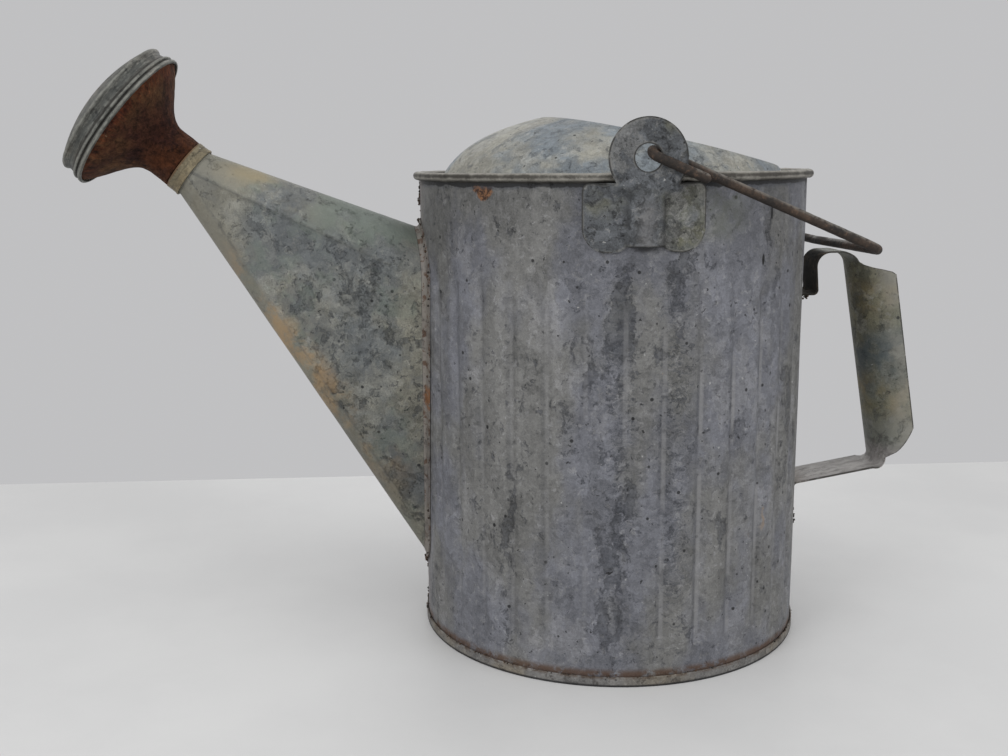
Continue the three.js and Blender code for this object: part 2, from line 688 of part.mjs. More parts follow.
// Rear handle: one strap, welded to the wall at both feet, that widens into a half-tube grip
// whose round side faces the body.
const STRAP_TOP_Z = BODY_HEIGHT - STRAP_TOP_BELOW_RIM;
const STRAP_TONGUE_Z = BODY_HEIGHT - STRAP_TONGUE_BELOW_RIM;

function rearHandle() {
  const wallX = BODY_RADIUS + CLEARANCE + STRAP_SHEET / 2;
  const tabX = wallX + STRAP_STAND_OFF;
  const gripTopX = BODY_RADIUS + GRIP_REACH;
  const lowBend = bendBelowGrip(gripTopX, wallX);
  const bendSteps = 4;
  const at = (x, z) => new THREE.Vector3(x, 0, z);
  const path = roundedPath(
    [
      { point: at(wallX, STRAP_TONGUE_Z - STRAP_UPPER_FOOT) },
      { point: at(wallX, STRAP_TONGUE_Z), radius: STRAP_BEND },
      { point: at(tabX, STRAP_TONGUE_Z), radius: STRAP_BEND },
      { point: at(tabX - STRAP_TAB_LEAN, STRAP_TOP_Z), radius: STRAP_ARCH },
      { point: at(gripTopX, STRAP_TOP_Z), radius: GRIP_TOP_BEND },
      ...gripStations(gripTopX, lowBend.z).map((p) => ({ point: p })),
      { point: lowBend, radius: GRIP_BOTTOM_BEND },
      { point: at(wallX, STRAP_LOW_Z), radius: STRAP_BEND },
      { point: at(wallX, STRAP_LOW_Z - STRAP_LOWER_FOOT) },
    ],
    bendSteps,
  );
  const directions = tangents(path);
  const across = 6;
  const rings = path.map((point, i) => {
    const outward = new THREE.Vector3(-directions[i].z, 0, directions[i].x);
    const section = strapSection(point, lowBend.z);
    const face = (thick) =>
      Array.from({ length: across + 1 }, (_, k) => {
        const v = lerp(-section.halfWidth, section.halfWidth, k / across);
        const bend = v * section.curl;
        const sideways = section.curl ? Math.sin(bend) / section.curl : v;
        const away = section.curl ? (1 - Math.cos(bend)) / section.curl : 0;
        const normal = outward.clone().multiplyScalar(Math.cos(bend));
        normal.y = -Math.sin(bend);
        const p = point.clone().addScaledVector(outward, away).addScaledVector(normal, thick);
        p.y += sideways;
        return p;
      });
    return [...face(-STRAP_SHEET / 2), ...face(STRAP_SHEET / 2).reverse()];
  });
  return skin(rings, false);
}

// Where the line of the grip meets the lower strap.
function bendBelowGrip(gripTopX, wallX) {
  const run = gripTopX + GRIP_LEAN * (STRAP_TOP_Z - STRAP_LOW_Z) - wallX;
  const x = wallX + run / (1 + GRIP_LEAN * STRAP_LOW_SLOPE);
  return new THREE.Vector3(x, 0, STRAP_LOW_Z + STRAP_LOW_SLOPE * (x - wallX));
}

// Points down the grip, close together where its width changes.
function gripStations(gripTopX, lowZ) {
  const top = STRAP_TOP_Z - GRIP_TOP_DROP;
  const bottom = lowZ + GRIP_BOTTOM_RISE;
  const heights = [
    top + (2 / 3) * GRIP_SHOULDER,
    top + GRIP_SHOULDER / 3,
    top,
    (top + bottom) / 2,
    bottom,
    bottom - GRIP_TAPER / 5,
    bottom - (3 / 5) * GRIP_TAPER,
  ];
  return heights.map((z) => new THREE.Vector3(gripTopX + GRIP_LEAN * (STRAP_TOP_Z - z), 0, z));
}

// Half width and curl of the strap at a point of its path.
function strapSection(point, lowZ) {
  const top = STRAP_TOP_Z - GRIP_TOP_DROP;
  const bottom = lowZ + GRIP_BOTTOM_RISE;
  const onGrip = point.x > BODY_RADIUS + GRIP_REACH - STRAP_BEND ? 1 : 0;
  const rise = THREE.MathUtils.clamp((top + GRIP_SHOULDER - point.z) / GRIP_SHOULDER, 0, 1);
  const fall = Math.sqrt(THREE.MathUtils.clamp((point.z - bottom + GRIP_TAPER) / GRIP_TAPER, 0, 1));
  const wide = onGrip * Math.min(rise, fall);
  const narrow = point.z > (top + bottom) / 2 ? STRAP_HALF_WIDTH : STRAP_ROOT_HALF_WIDTH;
  const [fullTop, fullBottom] = [0.7, 0.9];
  const curl = (onGrip * Math.min(smooth(rise, 0, fullTop), smooth(fall, 0, fullBottom))) / GRIP_RADIUS;
  return { halfWidth: lerp(narrow, (Math.PI / 2) * GRIP_RADIUS, wide), curl };
}

function piece(name, geometry, color, roughness, metalness) {
  const material = new THREE.MeshStandardMaterial({ color, roughness, metalness });
  const mesh = new THREE.Mesh(geometry, material);
  mesh.name = name;
  return mesh;
}

const can = new THREE.Group();
can.add(piece("body_wall", bodyWall(), 0x7c838a, 0.6, 0.4));
can.add(piece("rim_wire", rimWire(), 0x6b6a66, 0.6, 0.5));
can.add(piece("bottom_pan", bottomPan(), 0x77786f, 0.65, 0.4));
can.add(piece("hood", hood(), 0x9aa39b, 0.6, 0.35));
can.add(piece("near_ear", ear(-1), 0x777c78, 0.6, 0.4));
can.add(piece("far_ear", ear(1), 0x777c78, 0.6, 0.4));
can.add(piece("bail", bailWire(), 0x4a372b, 0.75, 0.3));
can.add(piece("spout", spout(), 0x7b8379, 0.6, 0.4));
can.add(piece("rear_handle", rearHandle(), 0x6a6c5f, 0.6, 0.4));

const tip = new THREE.Group();
tip.position.copy(TIP_CENTRE);
tip.quaternion.setFromUnitVectors(new THREE.Vector3(0, 0, 1), TIP_AXIS);
tip.add(piece("spout_collar", spoutCollar(), 0x8b8a74, 0.65, 0.35));
tip.add(piece("rose_cone", roseCone(), 0x4a2a1c, 0.85, 0.15));
tip.add(piece("rose_face", roseFace(), 0x6f7a73, 0.6, 0.4));
can.add(tip);

export default can;
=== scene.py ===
import math
import random

import bmesh
import bpy
from mathutils import Matrix, Vector, geometry, noise


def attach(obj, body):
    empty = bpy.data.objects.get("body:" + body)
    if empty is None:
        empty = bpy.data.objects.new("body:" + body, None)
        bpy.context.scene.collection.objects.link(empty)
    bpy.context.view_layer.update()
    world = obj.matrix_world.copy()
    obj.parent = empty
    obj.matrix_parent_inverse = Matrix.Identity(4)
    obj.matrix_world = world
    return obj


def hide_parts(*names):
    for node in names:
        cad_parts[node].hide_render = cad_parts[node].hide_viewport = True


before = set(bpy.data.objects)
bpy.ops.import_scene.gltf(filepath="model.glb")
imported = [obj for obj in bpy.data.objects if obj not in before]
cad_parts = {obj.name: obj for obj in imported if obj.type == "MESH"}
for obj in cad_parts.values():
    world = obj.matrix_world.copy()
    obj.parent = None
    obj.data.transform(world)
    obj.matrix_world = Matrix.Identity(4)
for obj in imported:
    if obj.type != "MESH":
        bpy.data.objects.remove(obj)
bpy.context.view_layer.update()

# The room: a white table top before a pale wall, under soft light from above and from both sides.
# It only shows the can and is no part of it.
MM = 0.001
FRAME_PIXELS = 1008
FOCAL_PIXELS = 1147.92
SENSOR_MM = 36
EYE_PLACE = (-0.11199, -0.65453, 0.27016)
EYE_TURN = math.radians(-4.402)
EYE_DIP = math.radians(10.935)
EYE_ROLL = math.radians(-0.479)
TABLE_LEFT_BACK = (-1.6, 0.3434)
TABLE_RIGHT_BACK = (1.6, 0.2671)
TABLE_FRONT = -1.6
TABLE_THICK = 0.03
TABLE_WHITE = (0.625, 0.625, 0.624, 1)
TABLE_SCUFF = (0.596, 0.596, 0.597, 1)
WALL_PALE = (0.528, 0.528, 0.537, 1)
ROOM_LEVEL = 0.66
CAN_MIDDLE = Vector((-0.02, 0, 0.15))
CREASE = math.radians(35)
# Each lamp has a name, a place, a width and watts.
LAMPS = (
    ("lamp_above", (0.1, -0.3, 1.7), 1.6, 7),
    ("lamp_front_left", (-1.5, -1.3, 1.0), 0.9, 14.5),
    ("lamp_front_right", (1.5, -1.2, 0.9), 1.2, 11.5),
    ("lamp_behind", (0.2, 1.9, 0.9), 1.4, 5.5),
)

scene = bpy.context.scene
scene.view_settings.view_transform = "Standard"


class Wire:
    """A socket of a node tree. Sums of wires and numbers add Math nodes to that tree."""

    def __init__(self, tree, socket=None):
        self.tree = tree
        self.socket = socket

    def node(self, kind, settings=None, sockets=None, out=0):
        """Adds a node with its settings, and with values or wires at its sockets."""
        added = self.tree.nodes.new(kind)
        for key, value in (settings or {}).items():
            setattr(added, key, value)
        for key, value in (sockets or {}).items():
            for wire in value if isinstance(value, list) else [value]:
                if isinstance(wire, Wire):
                    self.tree.links.new(wire.socket, added.inputs[key])
                else:
                    added.inputs[key].default_value = wire
        return Wire(self.tree, added.outputs[out])

    def math(self, operation, *values):
        inputs = dict(enumerate((self, *values)))
        return self.node("ShaderNodeMath", {"operation": operation}, inputs)

    def vector(self, operation, *values, out=0):
        inputs = dict(enumerate((self, *values)))
        return self.node("ShaderNodeVectorMath", {"operation": operation}, inputs, out)

    def scaled(self, amount):
        return self.node("ShaderNodeVectorMath", {"operation": "SCALE"}, {0: self, "Scale": amount})

    def step(self, low, high):
        """A soft step from 0 at low to 1 at high, where low may be the larger."""
        inputs = {"Value": self, "From Min": low, "From Max": high}
        return self.node("ShaderNodeMapRange", {"interpolation_type": "SMOOTHSTEP"}, inputs)

    def mix(self, first, second):
        """Two colours mixed by this value. A Mix node takes its colours at sockets 6 and 7."""
        return self.node("ShaderNodeMix", {"data_type": "RGBA"}, {0: self, 6: first, 7: second}, 2)

    def axes(self):
        split = self.node("ShaderNodeSeparateXYZ", {}, {0: self})
        return [Wire(self.tree, socket) for socket in split.socket.node.outputs]

    def __add__(self, other):
        return self.math("ADD", other)

    __radd__ = __add__

    def __mul__(self, other):
        return self.math("MULTIPLY", other)

    __rmul__ = __mul__

    def __sub__(self, other):
        return self.math("SUBTRACT", other)

    def __rsub__(self, other):
        return self.node("ShaderNodeMath", {"operation": "SUBTRACT"}, {0: other, 1: self})

    def __truediv__(self, other):
        return self.math("DIVIDE", other)


def finish(name):
    """A new material, and the places on the surface that it covers, in metres."""
    material = bpy.data.materials.new(name)
    material.use_nodes = True
    return material, Wire(material.node_tree).node("ShaderNodeTexCoord", out="Object")


def seal(material, colour, relief, depth, roughness, metallic):
    """Joins a finish's colour and relief to its shader."""
    tree = material.node_tree
    shader = tree.nodes["Principled BSDF"]
    bump = relief.node("ShaderNodeBump", {}, {"Height": relief, "Distance": depth})
    linked = {"Base Color": colour, "Normal": bump, "Roughness": roughness, "Metallic": metallic}
    for key, value in linked.items():
        if isinstance(value, Wire):
            tree.links.new(value.socket, shader.inputs[key])
        else:
            shader.inputs[key].default_value = value


def clouds(place, scale, detail=3.0, rough=0.5, out="Fac"):
    """Soft random clouds, about 0.5 on average."""
    inputs = {"Vector": place, "Scale": scale, "Detail": detail, "Roughness": rough}
    return place.node("ShaderNodeTexNoise", {}, inputs, out)


def smoothed(obj):
    """Smooths an object's faces, apart from the edges where they meet sharply."""
    obj.data.shade_smooth()
    obj.data.set_sharp_from_angle(angle=CREASE)


def made(name, verts, faces, material):
    """A mesh object with smooth faces."""
    mesh = bpy.data.meshes.new(name)
    mesh.from_pydata(verts, [], faces)
    mesh.materials.append(material)
    obj = bpy.data.objects.new(name, mesh)
    scene.collection.objects.link(obj)
    smoothed(obj)
    return obj


def lamp(name, place, width, watts):
    """A square soft box that faces the can."""
    data = bpy.data.lights.new(name, "AREA")
    data.size = width
    data.energy = watts
    obj = bpy.data.objects.new(name, data)
    obj.location = place
    obj.rotation_euler = (CAN_MIDDLE - Vector(place)).to_track_quat("-Z", "Y").to_euler()
    scene.collection.objects.link(obj)


table_paint, place = finish("table_paint")
scuffs = clouds(place, 7, 5, 0.6)
seal(
    table_paint,
    scuffs.step(0.35, 0.65).mix(TABLE_WHITE, TABLE_SCUFF),
    clouds(place, 400, 2),
    depth=0.05 * MM,
    roughness=0.55,
    metallic=0.0,
)
corners = [
    (*TABLE_LEFT_BACK, 0),
    (*TABLE_RIGHT_BACK, 0),
    (TABLE_RIGHT_BACK[0], TABLE_FRONT, 0),
    (TABLE_LEFT_BACK[0], TABLE_FRONT, 0),
]
under = [(x, y, -TABLE_THICK) for x, y, _ in corners]
sides = [(k, k + 4, (k + 1) % 4 + 4, (k + 1) % 4) for k in range(4)]
table = made("table", corners + under, [(3, 2, 1, 0), (4, 5, 6, 7), *sides], table_paint)
table.data.flip_normals()

world = bpy.data.worlds.new("room")
world.use_nodes = True
scene.world = world
world.node_tree.nodes.clear()
air = Wire(world.node_tree)
rays = air.node("ShaderNodeLightPath").socket.node.outputs
seen = Wire(air.tree, rays["Is Camera Ray"])
for kind in ("Is Glossy Ray", "Is Transmission Ray"):
    seen = seen.math("MAXIMUM", Wire(air.tree, rays[kind]))
fill = air.node("ShaderNodeBackground", {}, {"Color": (1, 1, 1, 1), "Strength": ROOM_LEVEL})
wall = air.node("ShaderNodeBackground", {}, {"Color": WALL_PALE, "Strength": 1.0})
both = air.node("ShaderNodeMixShader", {}, {0: seen, 1: fill, 2: wall})
outlet = air.tree.nodes.new("ShaderNodeOutputWorld")
air.tree.links.new(both.socket, outlet.inputs["Surface"])

for lamp_row in LAMPS:
    lamp(*lamp_row)

camera_data = bpy.data.cameras.new("camera")
camera_data.sensor_width = SENSOR_MM
camera_data.lens = FOCAL_PIXELS / FRAME_PIXELS * SENSOR_MM
camera = bpy.data.objects.new("camera", camera_data)
camera.matrix_world = (
    Matrix.Translation(EYE_PLACE)
    @ Matrix.Rotation(EYE_TURN, 4, "Z")
    @ Matrix.Rotation(math.pi / 2 - EYE_DIP, 4, "X")
    @ Matrix.Rotation(EYE_ROLL, 4, "Z")
)
scene.collection.objects.link(camera)
scene.camera = camera

# The body wall: one zinc-coated steel sheet, bent round and seamed under the spout.
# Pressed flutes stiffen it, and its top edge is curled outwards round a wire.
BODY_RADIUS = 108 * MM
SHEET = 0.8 * MM
FLUTES = 34
FLUTE_COLUMNS = 20
WALL_SIZES = {
    "Columns": FLUTES * FLUTE_COLUMNS,
    "Rows": 60,
    "Inner radius": BODY_RADIUS - SHEET,
    "Foot": 1.1 * MM,
    "Roll height": 259.8 * MM,
    "Roll radius": 2.2 * MM,
    "Roll turn": math.radians(280),
    "Wall share": 0.74,
    "Flutes": float(FLUTES),
    "Flute depth": 1.6 * MM,
    "Flute sharpness": 4.0,
    "Flute low": 14 * MM,
    "Flute high": 214 * MM,
    "Flute fade": 10 * MM,
    "Plain half angle": 1.5 * math.tau / FLUTES,
    "Buckle": 1.3 * MM,
    "Buckle fade": 25 * MM,
    "Rim bump": 0.30,
}
FOOT_TOP_Z = 205 * MM
FOOT_BOTTOM_Z = 55.5 * MM
FOOT_TOP_RADIUS = 26 * MM
FOOT_BOTTOM_RADIUS = 15 * MM
FOOT_SIDE_ANGLE = math.acos((FOOT_BOTTOM_RADIUS - FOOT_TOP_RADIUS) / (FOOT_TOP_Z - FOOT_BOTTOM_Z))
SPOUT_OPENING_INSET = 7 * MM
BODY_COOL = (0.151, 0.155, 0.175, 1)
BODY_WARM = (0.156, 0.155, 0.150, 1)
BODY_DARK = (0.055, 0.059, 0.070, 1)
BODY_PALE = (0.250, 0.249, 0.254, 1)
# Near black: real soot in pits and nicks, and also painted shadow in gaps and under parts.
SOOT_AND_SHADOW = (0.012, 0.012, 0.013, 1)
DUST = (0.42, 0.42, 0.41, 1)
CHIP_DARK = (0.040, 0.018, 0.010, 1)
CHIP_RUST = (0.205, 0.098, 0.046, 1)
RUN_RUST = (0.30, 0.22, 0.15, 1)
MOSS = (0.115, 0.122, 0.088, 1)
SEAM_RUST = (0.095, 0.052, 0.030, 1)
SEAM_DIRT = (0.205, 0.180, 0.168, 1)
RIM_DARK = (0.050, 0.045, 0.037, 1)
RIM_BARE_AND_LIT = (0.275, 0.262, 0.232, 1)
RIM_CREASE_SHADE = (0.040, 0.036, 0.030, 1)
RIM_SHADE = (0.036, 0.032, 0.027, 1)
# A place on the wall is an angle round the can, with the near side at -pi / 2, and a height.
LEFT_STREAK = -1.69
RIGHT_STREAK = -1.43
SPOUT_SIDE_STREAK = -2.3
OLIVE_BAND = -2.02
MOSS_ANGLE = -1.2
CHIP_PLACE = (-2.366, 0.2550)
CHIP_HALF_SIZE = (0.0080, 0.0080, 0.0072)
# Each run of rust has its place, a half width and a half length.
RUST_RUNS = (
    (-0.991, 0.074, 0.0013, 0.0019),
    (-0.884, 0.0807, 0.002, 0.009),
    (-1.473, 0.1638, 0.001, 0.007),
)
# Each black nick has its place and a half length.
NICK_HALF_WIDTH = 0.0012
NICKS = (
    (-2.358, 0.1324, 0.0013),
    (-2.32, 0.0802, 0.0013),
    (-1.628, 0.1421, 0.0013),
    (-0.898, 0.0454, 0.0013),
    (-0.892, 0.2411, 0.0040),
    (-0.946, 0.2180, 0.0035),
)
EAR_MOUTH_SHADOW = (-0.0015, -BODY_RADIUS, 0.2260)
EAR_MOUTH_SHADOW_HALF_SIZE = (0.0090, 0.010, 0.0030)


def geometry_tree(name, sizes):
    """A geometry tree with a named input for each size, and those inputs as wires."""
    tree = bpy.data.node_groups.new(name, "GeometryNodeTree")
    tree.interface.new_socket("Geometry", in_out="INPUT", socket_type="NodeSocketGeometry")
    tree.interface.new_socket("Geometry", in_out="OUTPUT", socket_type="NodeSocketGeometry")
    for key, value in sizes.items():
        kind = "NodeSocketInt" if isinstance(value, int) else "NodeSocketFloat"
        tree.interface.new_socket(key, in_out="INPUT", socket_type=kind)
    inlet = tree.nodes.new("NodeGroupInput")
    return {socket.name: Wire(tree, socket) for socket in inlet.outputs if socket.name}


def grown(name, result, sizes, material, mesh=None):
    """Runs a geometry tree that ends in result, and keeps what it makes as a plain mesh."""
    tree = result.tree
    whole = result.node("GeometryNodeRealizeInstances", {}, {"Geometry": result})
    coated = whole.node("GeometryNodeSetMaterial", {}, {"Geometry": whole, "Material": material})
    outlet = tree.nodes.new("NodeGroupOutput")
    tree.links.new(coated.socket, outlet.inputs["Geometry"])
    obj = bpy.data.objects.new(name, mesh or bpy.data.meshes.new(name))
    scene.collection.objects.link(obj)
    modifier = obj.modifiers.new("rule", "NODES")
    modifier.node_group = tree
    for item in tree.interface.items_tree:
        if item.in_out == "INPUT" and item.name in sizes:
            modifier[item.identifier] = sizes[item.name]
    settle(obj)
    return obj


def settle(obj):
    """Turns what an object's modifiers make into its own plain mesh."""
    graph = bpy.context.evaluated_depsgraph_get()
    mesh = bpy.data.meshes.new_from_object(obj.evaluated_get(graph))
    obj.modifiers.clear()
    obj.data = mesh
    smoothed(obj)


def thickened(obj, thick, offset):
    """Gives a surface the thickness of its sheet."""
    modifier = obj.modifiers.new("sheet", "SOLIDIFY")
    modifier.thickness = thick
    modifier.offset = offset
    modifier.use_even_offset = True
    settle(obj)


def cut(obj, verts, faces):
    """Cuts an object with a closed shape that is thrown away afterwards."""
    mesh = bpy.data.meshes.new("cutter")
    mesh.from_pydata(verts, [], faces)
    cutter = bpy.data.objects.new("cutter", mesh)
    scene.collection.objects.link(cutter)
    modifier = obj.modifiers.new("cut", "BOOLEAN")
    modifier.object = cutter
    modifier.operation = "DIFFERENCE"
    modifier.solver = "EXACT"
    settle(obj)
    bpy.data.objects.remove(cutter)


def skinned(rings, loop):
    """Corners and outward faces of a closed skin over rings of points."""
    around = len(rings[0])
    verts = [point for ring in rings for point in ring]
    faces = []
    for i in range(len(rings) if loop else len(rings) - 1):
        here, there = i * around, (i + 1) % len(rings) * around
        for j in range(around):
            k = (j + 1) % around
            faces.append((here + j, here + k, there + k, there + j))
    if not loop:
        faces.append(tuple(range(around - 1, -1, -1)))
        faces.append(tuple(range(len(verts) - around, len(verts))))
    volume = 0.0
    for face in faces:
        for a, b in zip(face[1:], face[2:]):
            volume += Vector(verts[face[0]]).dot(Vector(verts[a]).cross(Vector(verts[b])))
    return verts, faces if volume > 0 else [tuple(reversed(face)) for face in faces]


def foot_columns(arc_steps, flat_steps, tip_half):
    """Directions round the spout: at its foot, along the flat side, and at its round tip."""
    half = []
    for k in range(arc_steps):
        t = k / arc_steps
        half.append((t * FOOT_SIDE_ANGLE, 0.0, t * (FOOT_SIDE_ANGLE - tip_half)))
    for k in range(flat_steps + 1):
        t = 0.5 - 0.5 * math.cos(math.pi * k / flat_steps)
        half.append((FOOT_SIDE_ANGLE, t, FOOT_SIDE_ANGLE + (2 * t - 1) * tip_half))
    for k in range(1, arc_steps + 1):
        t = k / arc_steps
        foot = FOOT_SIDE_ANGLE + t * (math.pi - FOOT_SIDE_ANGLE)
        tip = FOOT_SIDE_ANGLE + tip_half + t * (math.pi - FOOT_SIDE_ANGLE - tip_half)
        half.append((foot, 1.0, tip))
    return half + [(-foot, share, -tip) for foot, share, tip in reversed(half[1:-1])]


def foot_outline(column, offset):
    """A point of the spout's foot on the wall, as sideways place and height."""
    foot, share, _ = column
    radius = FOOT_TOP_RADIUS + share * (FOOT_BOTTOM_RADIUS - FOOT_TOP_RADIUS) + offset
    centre = FOOT_TOP_Z + share * (FOOT_BOTTOM_Z - FOOT_TOP_Z)
    return radius * math.sin(foot), centre + radius * math.cos(foot)


def cells(place, scale, out):
    """The crystal cells of the zinc."""
    return place.node("ShaderNodeTexVoronoi", {}, {"Vector": place, "Scale": scale}, out)


def lot(place, scale):
    """A number drawn for each crystal cell."""
    return place.node("ShaderNodeSeparateColor", {}, {0: cells(place, scale, "Color")})


def specks(place, scale, size, share):
    """Small round marks in a share of the crystal cells."""
    away = cells(place, scale, "Distance")
    drawn = Wire(place.tree, away.socket.node.outputs["Color"])
    drawn = drawn.node("ShaderNodeSeparateColor", {}, {0: drawn})
    return away.step(size, 0.6 * size) * drawn.step(1 - share, 1.01 - share)


def torn(place, scale, reach):
    """Places shifted about by small clouds, so that what is drawn on them has torn edges."""
    shift = clouds(place, scale, 6, 0.65, "Color").vector("SUBTRACT", (0.5, 0.5, 0.5))
    return shift.vector("MULTIPLY_ADD", (reach, reach, reach), place)


def spot(place, centre, half_size, soft=0.35):
    """A blot round a centre, with half sizes along the three axes."""
    away = place.vector("SUBTRACT", centre).vector("DIVIDE", half_size)
    return away.vector("LENGTH", out="Value").step(1.0, 1.0 - soft)


def bell(value, centre, half):
    """A soft band round a value."""
    return ((value - centre) / half).math("ABSOLUTE").step(1.0, 0.0)


def zinc(place, cool, warm, dark, pale, tall=0.55, shabby=0.0, warmer=0.0, harsh=1.3, chalky=0.5):
    """Old zinc: crystal flakes in two greys, torn dark patches, chalk, pits and grain.
    Gives its colour, its relief and the frayed places that further marks are drawn on."""
    frayed = torn(place, 90, 0.012)
    stretched = frayed.vector("MULTIPLY", (1.0, 1.0, tall))
    warmth = (clouds(stretched, 19, 4, 0.6) + warmer).step(0.43, 0.60)
    flake = lot(stretched, 95)
    fleck = lot(frayed, 320)
    brush = clouds(frayed.vector("MULTIPLY", (1.0, 1.0, 2.4)), 170, 6, 0.72)
    grain = clouds(place, 950, 3, 0.85)
    tone = 0.26 * flake + 0.28 * fleck + 0.70 * brush + 1.05 * grain - 0.145
    chalk = clouds(stretched.vector("ADD", (3.1, 1.7, 0.4)), 30, 7, 0.68).step(0.55, 0.585)
    bloom = clouds(frayed, 230, 5, 0.7).step(0.59, 0.615)
    patch = clouds(stretched, 40, 9, 0.74) + shabby
    worn = patch.step(0.578, 0.594)
    torn_edge = bell(patch, 0.572, 0.012)
    bitten = (clouds(frayed, 150, 7, 0.74) + 0.8 * shabby).step(0.595, 0.612)
    colour = warmth.mix(cool, warm)
    colour = (chalk * chalky).mix(colour, pale)
    colour = (bloom * 0.5).mix(colour, pale)
    colour = (worn * 0.55).mix(colour, dark)
    colour = (bitten * 0.6).mix(colour, dark)
    colour = (torn_edge * 0.45).mix(colour, dark)
    colour = colour.scaled((1 + harsh * (tone - 1)).math("MAXIMUM", 0.15))
    peppered = (clouds(frayed, 520, 3, 0.75) + 0.5 * shabby).step(0.640, 0.662)
    colour = (peppered * 0.8).mix(colour, dark)
    pit = specks(place, 85, 0.10, 0.9).math("MAXIMUM", specks(frayed, 190, 0.14, 0.5))
    colour = (pit * 0.9).mix(colour, SOOT_AND_SHADOW)
    dust = specks(frayed, 150, 0.09, 0.2)
    colour = (dust * 0.8).mix(colour, DUST)
    relief = 0.9 * clouds(place, 200, 5, 0.72) + 0.5 * grain - 0.6 * worn - 0.5 * bitten
    return colour, relief, frayed


def on_wall(angle, height):
    """A point on the outside of the wall."""
    return Vector((math.cos(angle), math.sin(angle), 0)) * BODY_RADIUS + Vector((0, 0, height))


body_zinc, place = finish("body_zinc")
x, y, z = place.axes()
turn = y.math("ARCTAN2", x)
to_seam = turn.math("ABSOLUTE")
bands = 0.075 * bell(turn, LEFT_STREAK, 0.15) + 0.071 * bell(turn, RIGHT_STREAK, 0.14)
low_to_rim = z.step(0.228, 0.213) * (0.5 + 0.5 * z.step(0.02, 0.09))
bands = bands * low_to_rim + 0.015 * bell(turn, SPOUT_SIDE_STREAK, 0.25) - 0.032
olive = 0.10 * bell(turn, OLIVE_BAND, 0.24)
colour, relief, frayed = zinc(
    place,
    BODY_COOL,
    BODY_WARM,
    BODY_DARK,
    BODY_PALE,
    tall=0.5,
    shabby=bands,
    warmer=olive - 0.02,
    harsh=1.1,
    chalky=0.3,
)
streak = clouds(place.vector("MULTIPLY", (1.0, 1.0, 0.06)), 120, 3, 0.6)
# The streaks vary the tone, and the wall is darkened towards the rim as painted shade under the curl.
colour = colour.scaled((0.74 + 0.52 * streak) * (1 - 0.24 * z.step(0.195, 0.25)))
laid = frayed.vector("MULTIPLY", (1.0, 1.0, 3.4))
stroke = (clouds(laid, 230, 4, 0.7) + 1.7 * bands).step(0.60, 0.63)
colour = (0.55 * stroke).mix(colour, BODY_DARK)

# The flutes: rubbed pale in the groove, with a painted highlight there, and painted shade on one flank,
# both stronger towards the right.
flute_turn = FLUTES * (turn - math.pi)
fluted = z.step(0.212, 0.19) * z.step(0.018, 0.03)
flute_line_breakup = clouds(frayed, 26, 5, 0.62).step(0.40, 0.58)
flute_light_to_right = turn.step(-2.0, -1.1)
groove_rub_and_highlight = flute_turn.math("COSINE").step(0.86, 0.985) * fluted * flute_line_breakup
colour = (groove_rub_and_highlight * (0.24 + 0.40 * flute_light_to_right)).mix(colour, BODY_PALE)
flank_shade = (flute_turn + 0.62).math("COSINE").step(0.90, 0.99) * fluted * flute_line_breakup
colour = (flank_shade * (0.15 + 0.15 * flute_light_to_right)).mix(colour, BODY_DARK)

# Single marks: the rust chip under the rim, runs of rust, black nicks, moss, rust and dirt in seams,
# painted shade under the ear's rib and under the rim, and a painted shadow in the gap under the curl.
chip = spot(frayed, on_wall(*CHIP_PLACE), CHIP_HALF_SIZE, 0.2)
chip_tone = clouds(frayed, 330, 5, 0.75).step(0.45, 0.55)
colour = chip.mix(colour, chip_tone.mix(CHIP_DARK, CHIP_RUST))
for angle, height, wide, tall in RUST_RUNS:
    run = spot(frayed, on_wall(angle, height), (wide, wide, tall), 0.6)
    colour = (0.55 * run).mix(colour, RUN_RUST)
for angle, height, tall in NICKS:
    nick = spot(place, on_wall(angle, height), (NICK_HALF_WIDTH, NICK_HALF_WIDTH, tall))
    colour = nick.mix(colour, SOOT_AND_SHADOW)
mossy = bell(turn, MOSS_ANGLE, 0.22) * z.step(0.225, 0.236)
mossy = mossy * clouds(frayed, 40, 5, 0.6).step(0.42, 0.6)
colour = (0.5 * mossy).mix(colour, MOSS)
seam_rust = z.step(0.0105, 0.0070) * clouds(frayed, 130, 5, 0.7).step(0.36, 0.54)
colour = (0.85 * seam_rust).mix(colour, SEAM_RUST)
# Painted shadow under the open mouth of the ear's rib.
colour = (0.8 * spot(place, EAR_MOUTH_SHADOW, EAR_MOUTH_SHADOW_HALF_SIZE, 0.8)).mix(colour, SOOT_AND_SHADOW)
# Painted shade under the rim, and a painted shadow in the gap under the curl.
under_rim_shade = z.step(0.2530, 0.2558)
under_rim_shade = 0.75 * under_rim_shade * clouds(frayed, 110, 5, 0.6).step(0.34, 0.56)
colour = under_rim_shade.mix(colour, BODY_DARK)
rim_gap_shadow = (z + 0.006 * clouds(frayed, 70, 5, 0.7)).step(0.2580, 0.2585)
colour = (0.9 * rim_gap_shadow).mix(colour, SOOT_AND_SHADOW)
seam_dirt = bell(to_seam, math.pi, 0.24) * clouds(frayed, 45, 5, 0.6).step(0.34, 0.52)
colour = (0.7 * seam_dirt).mix(colour, SEAM_DIRT)

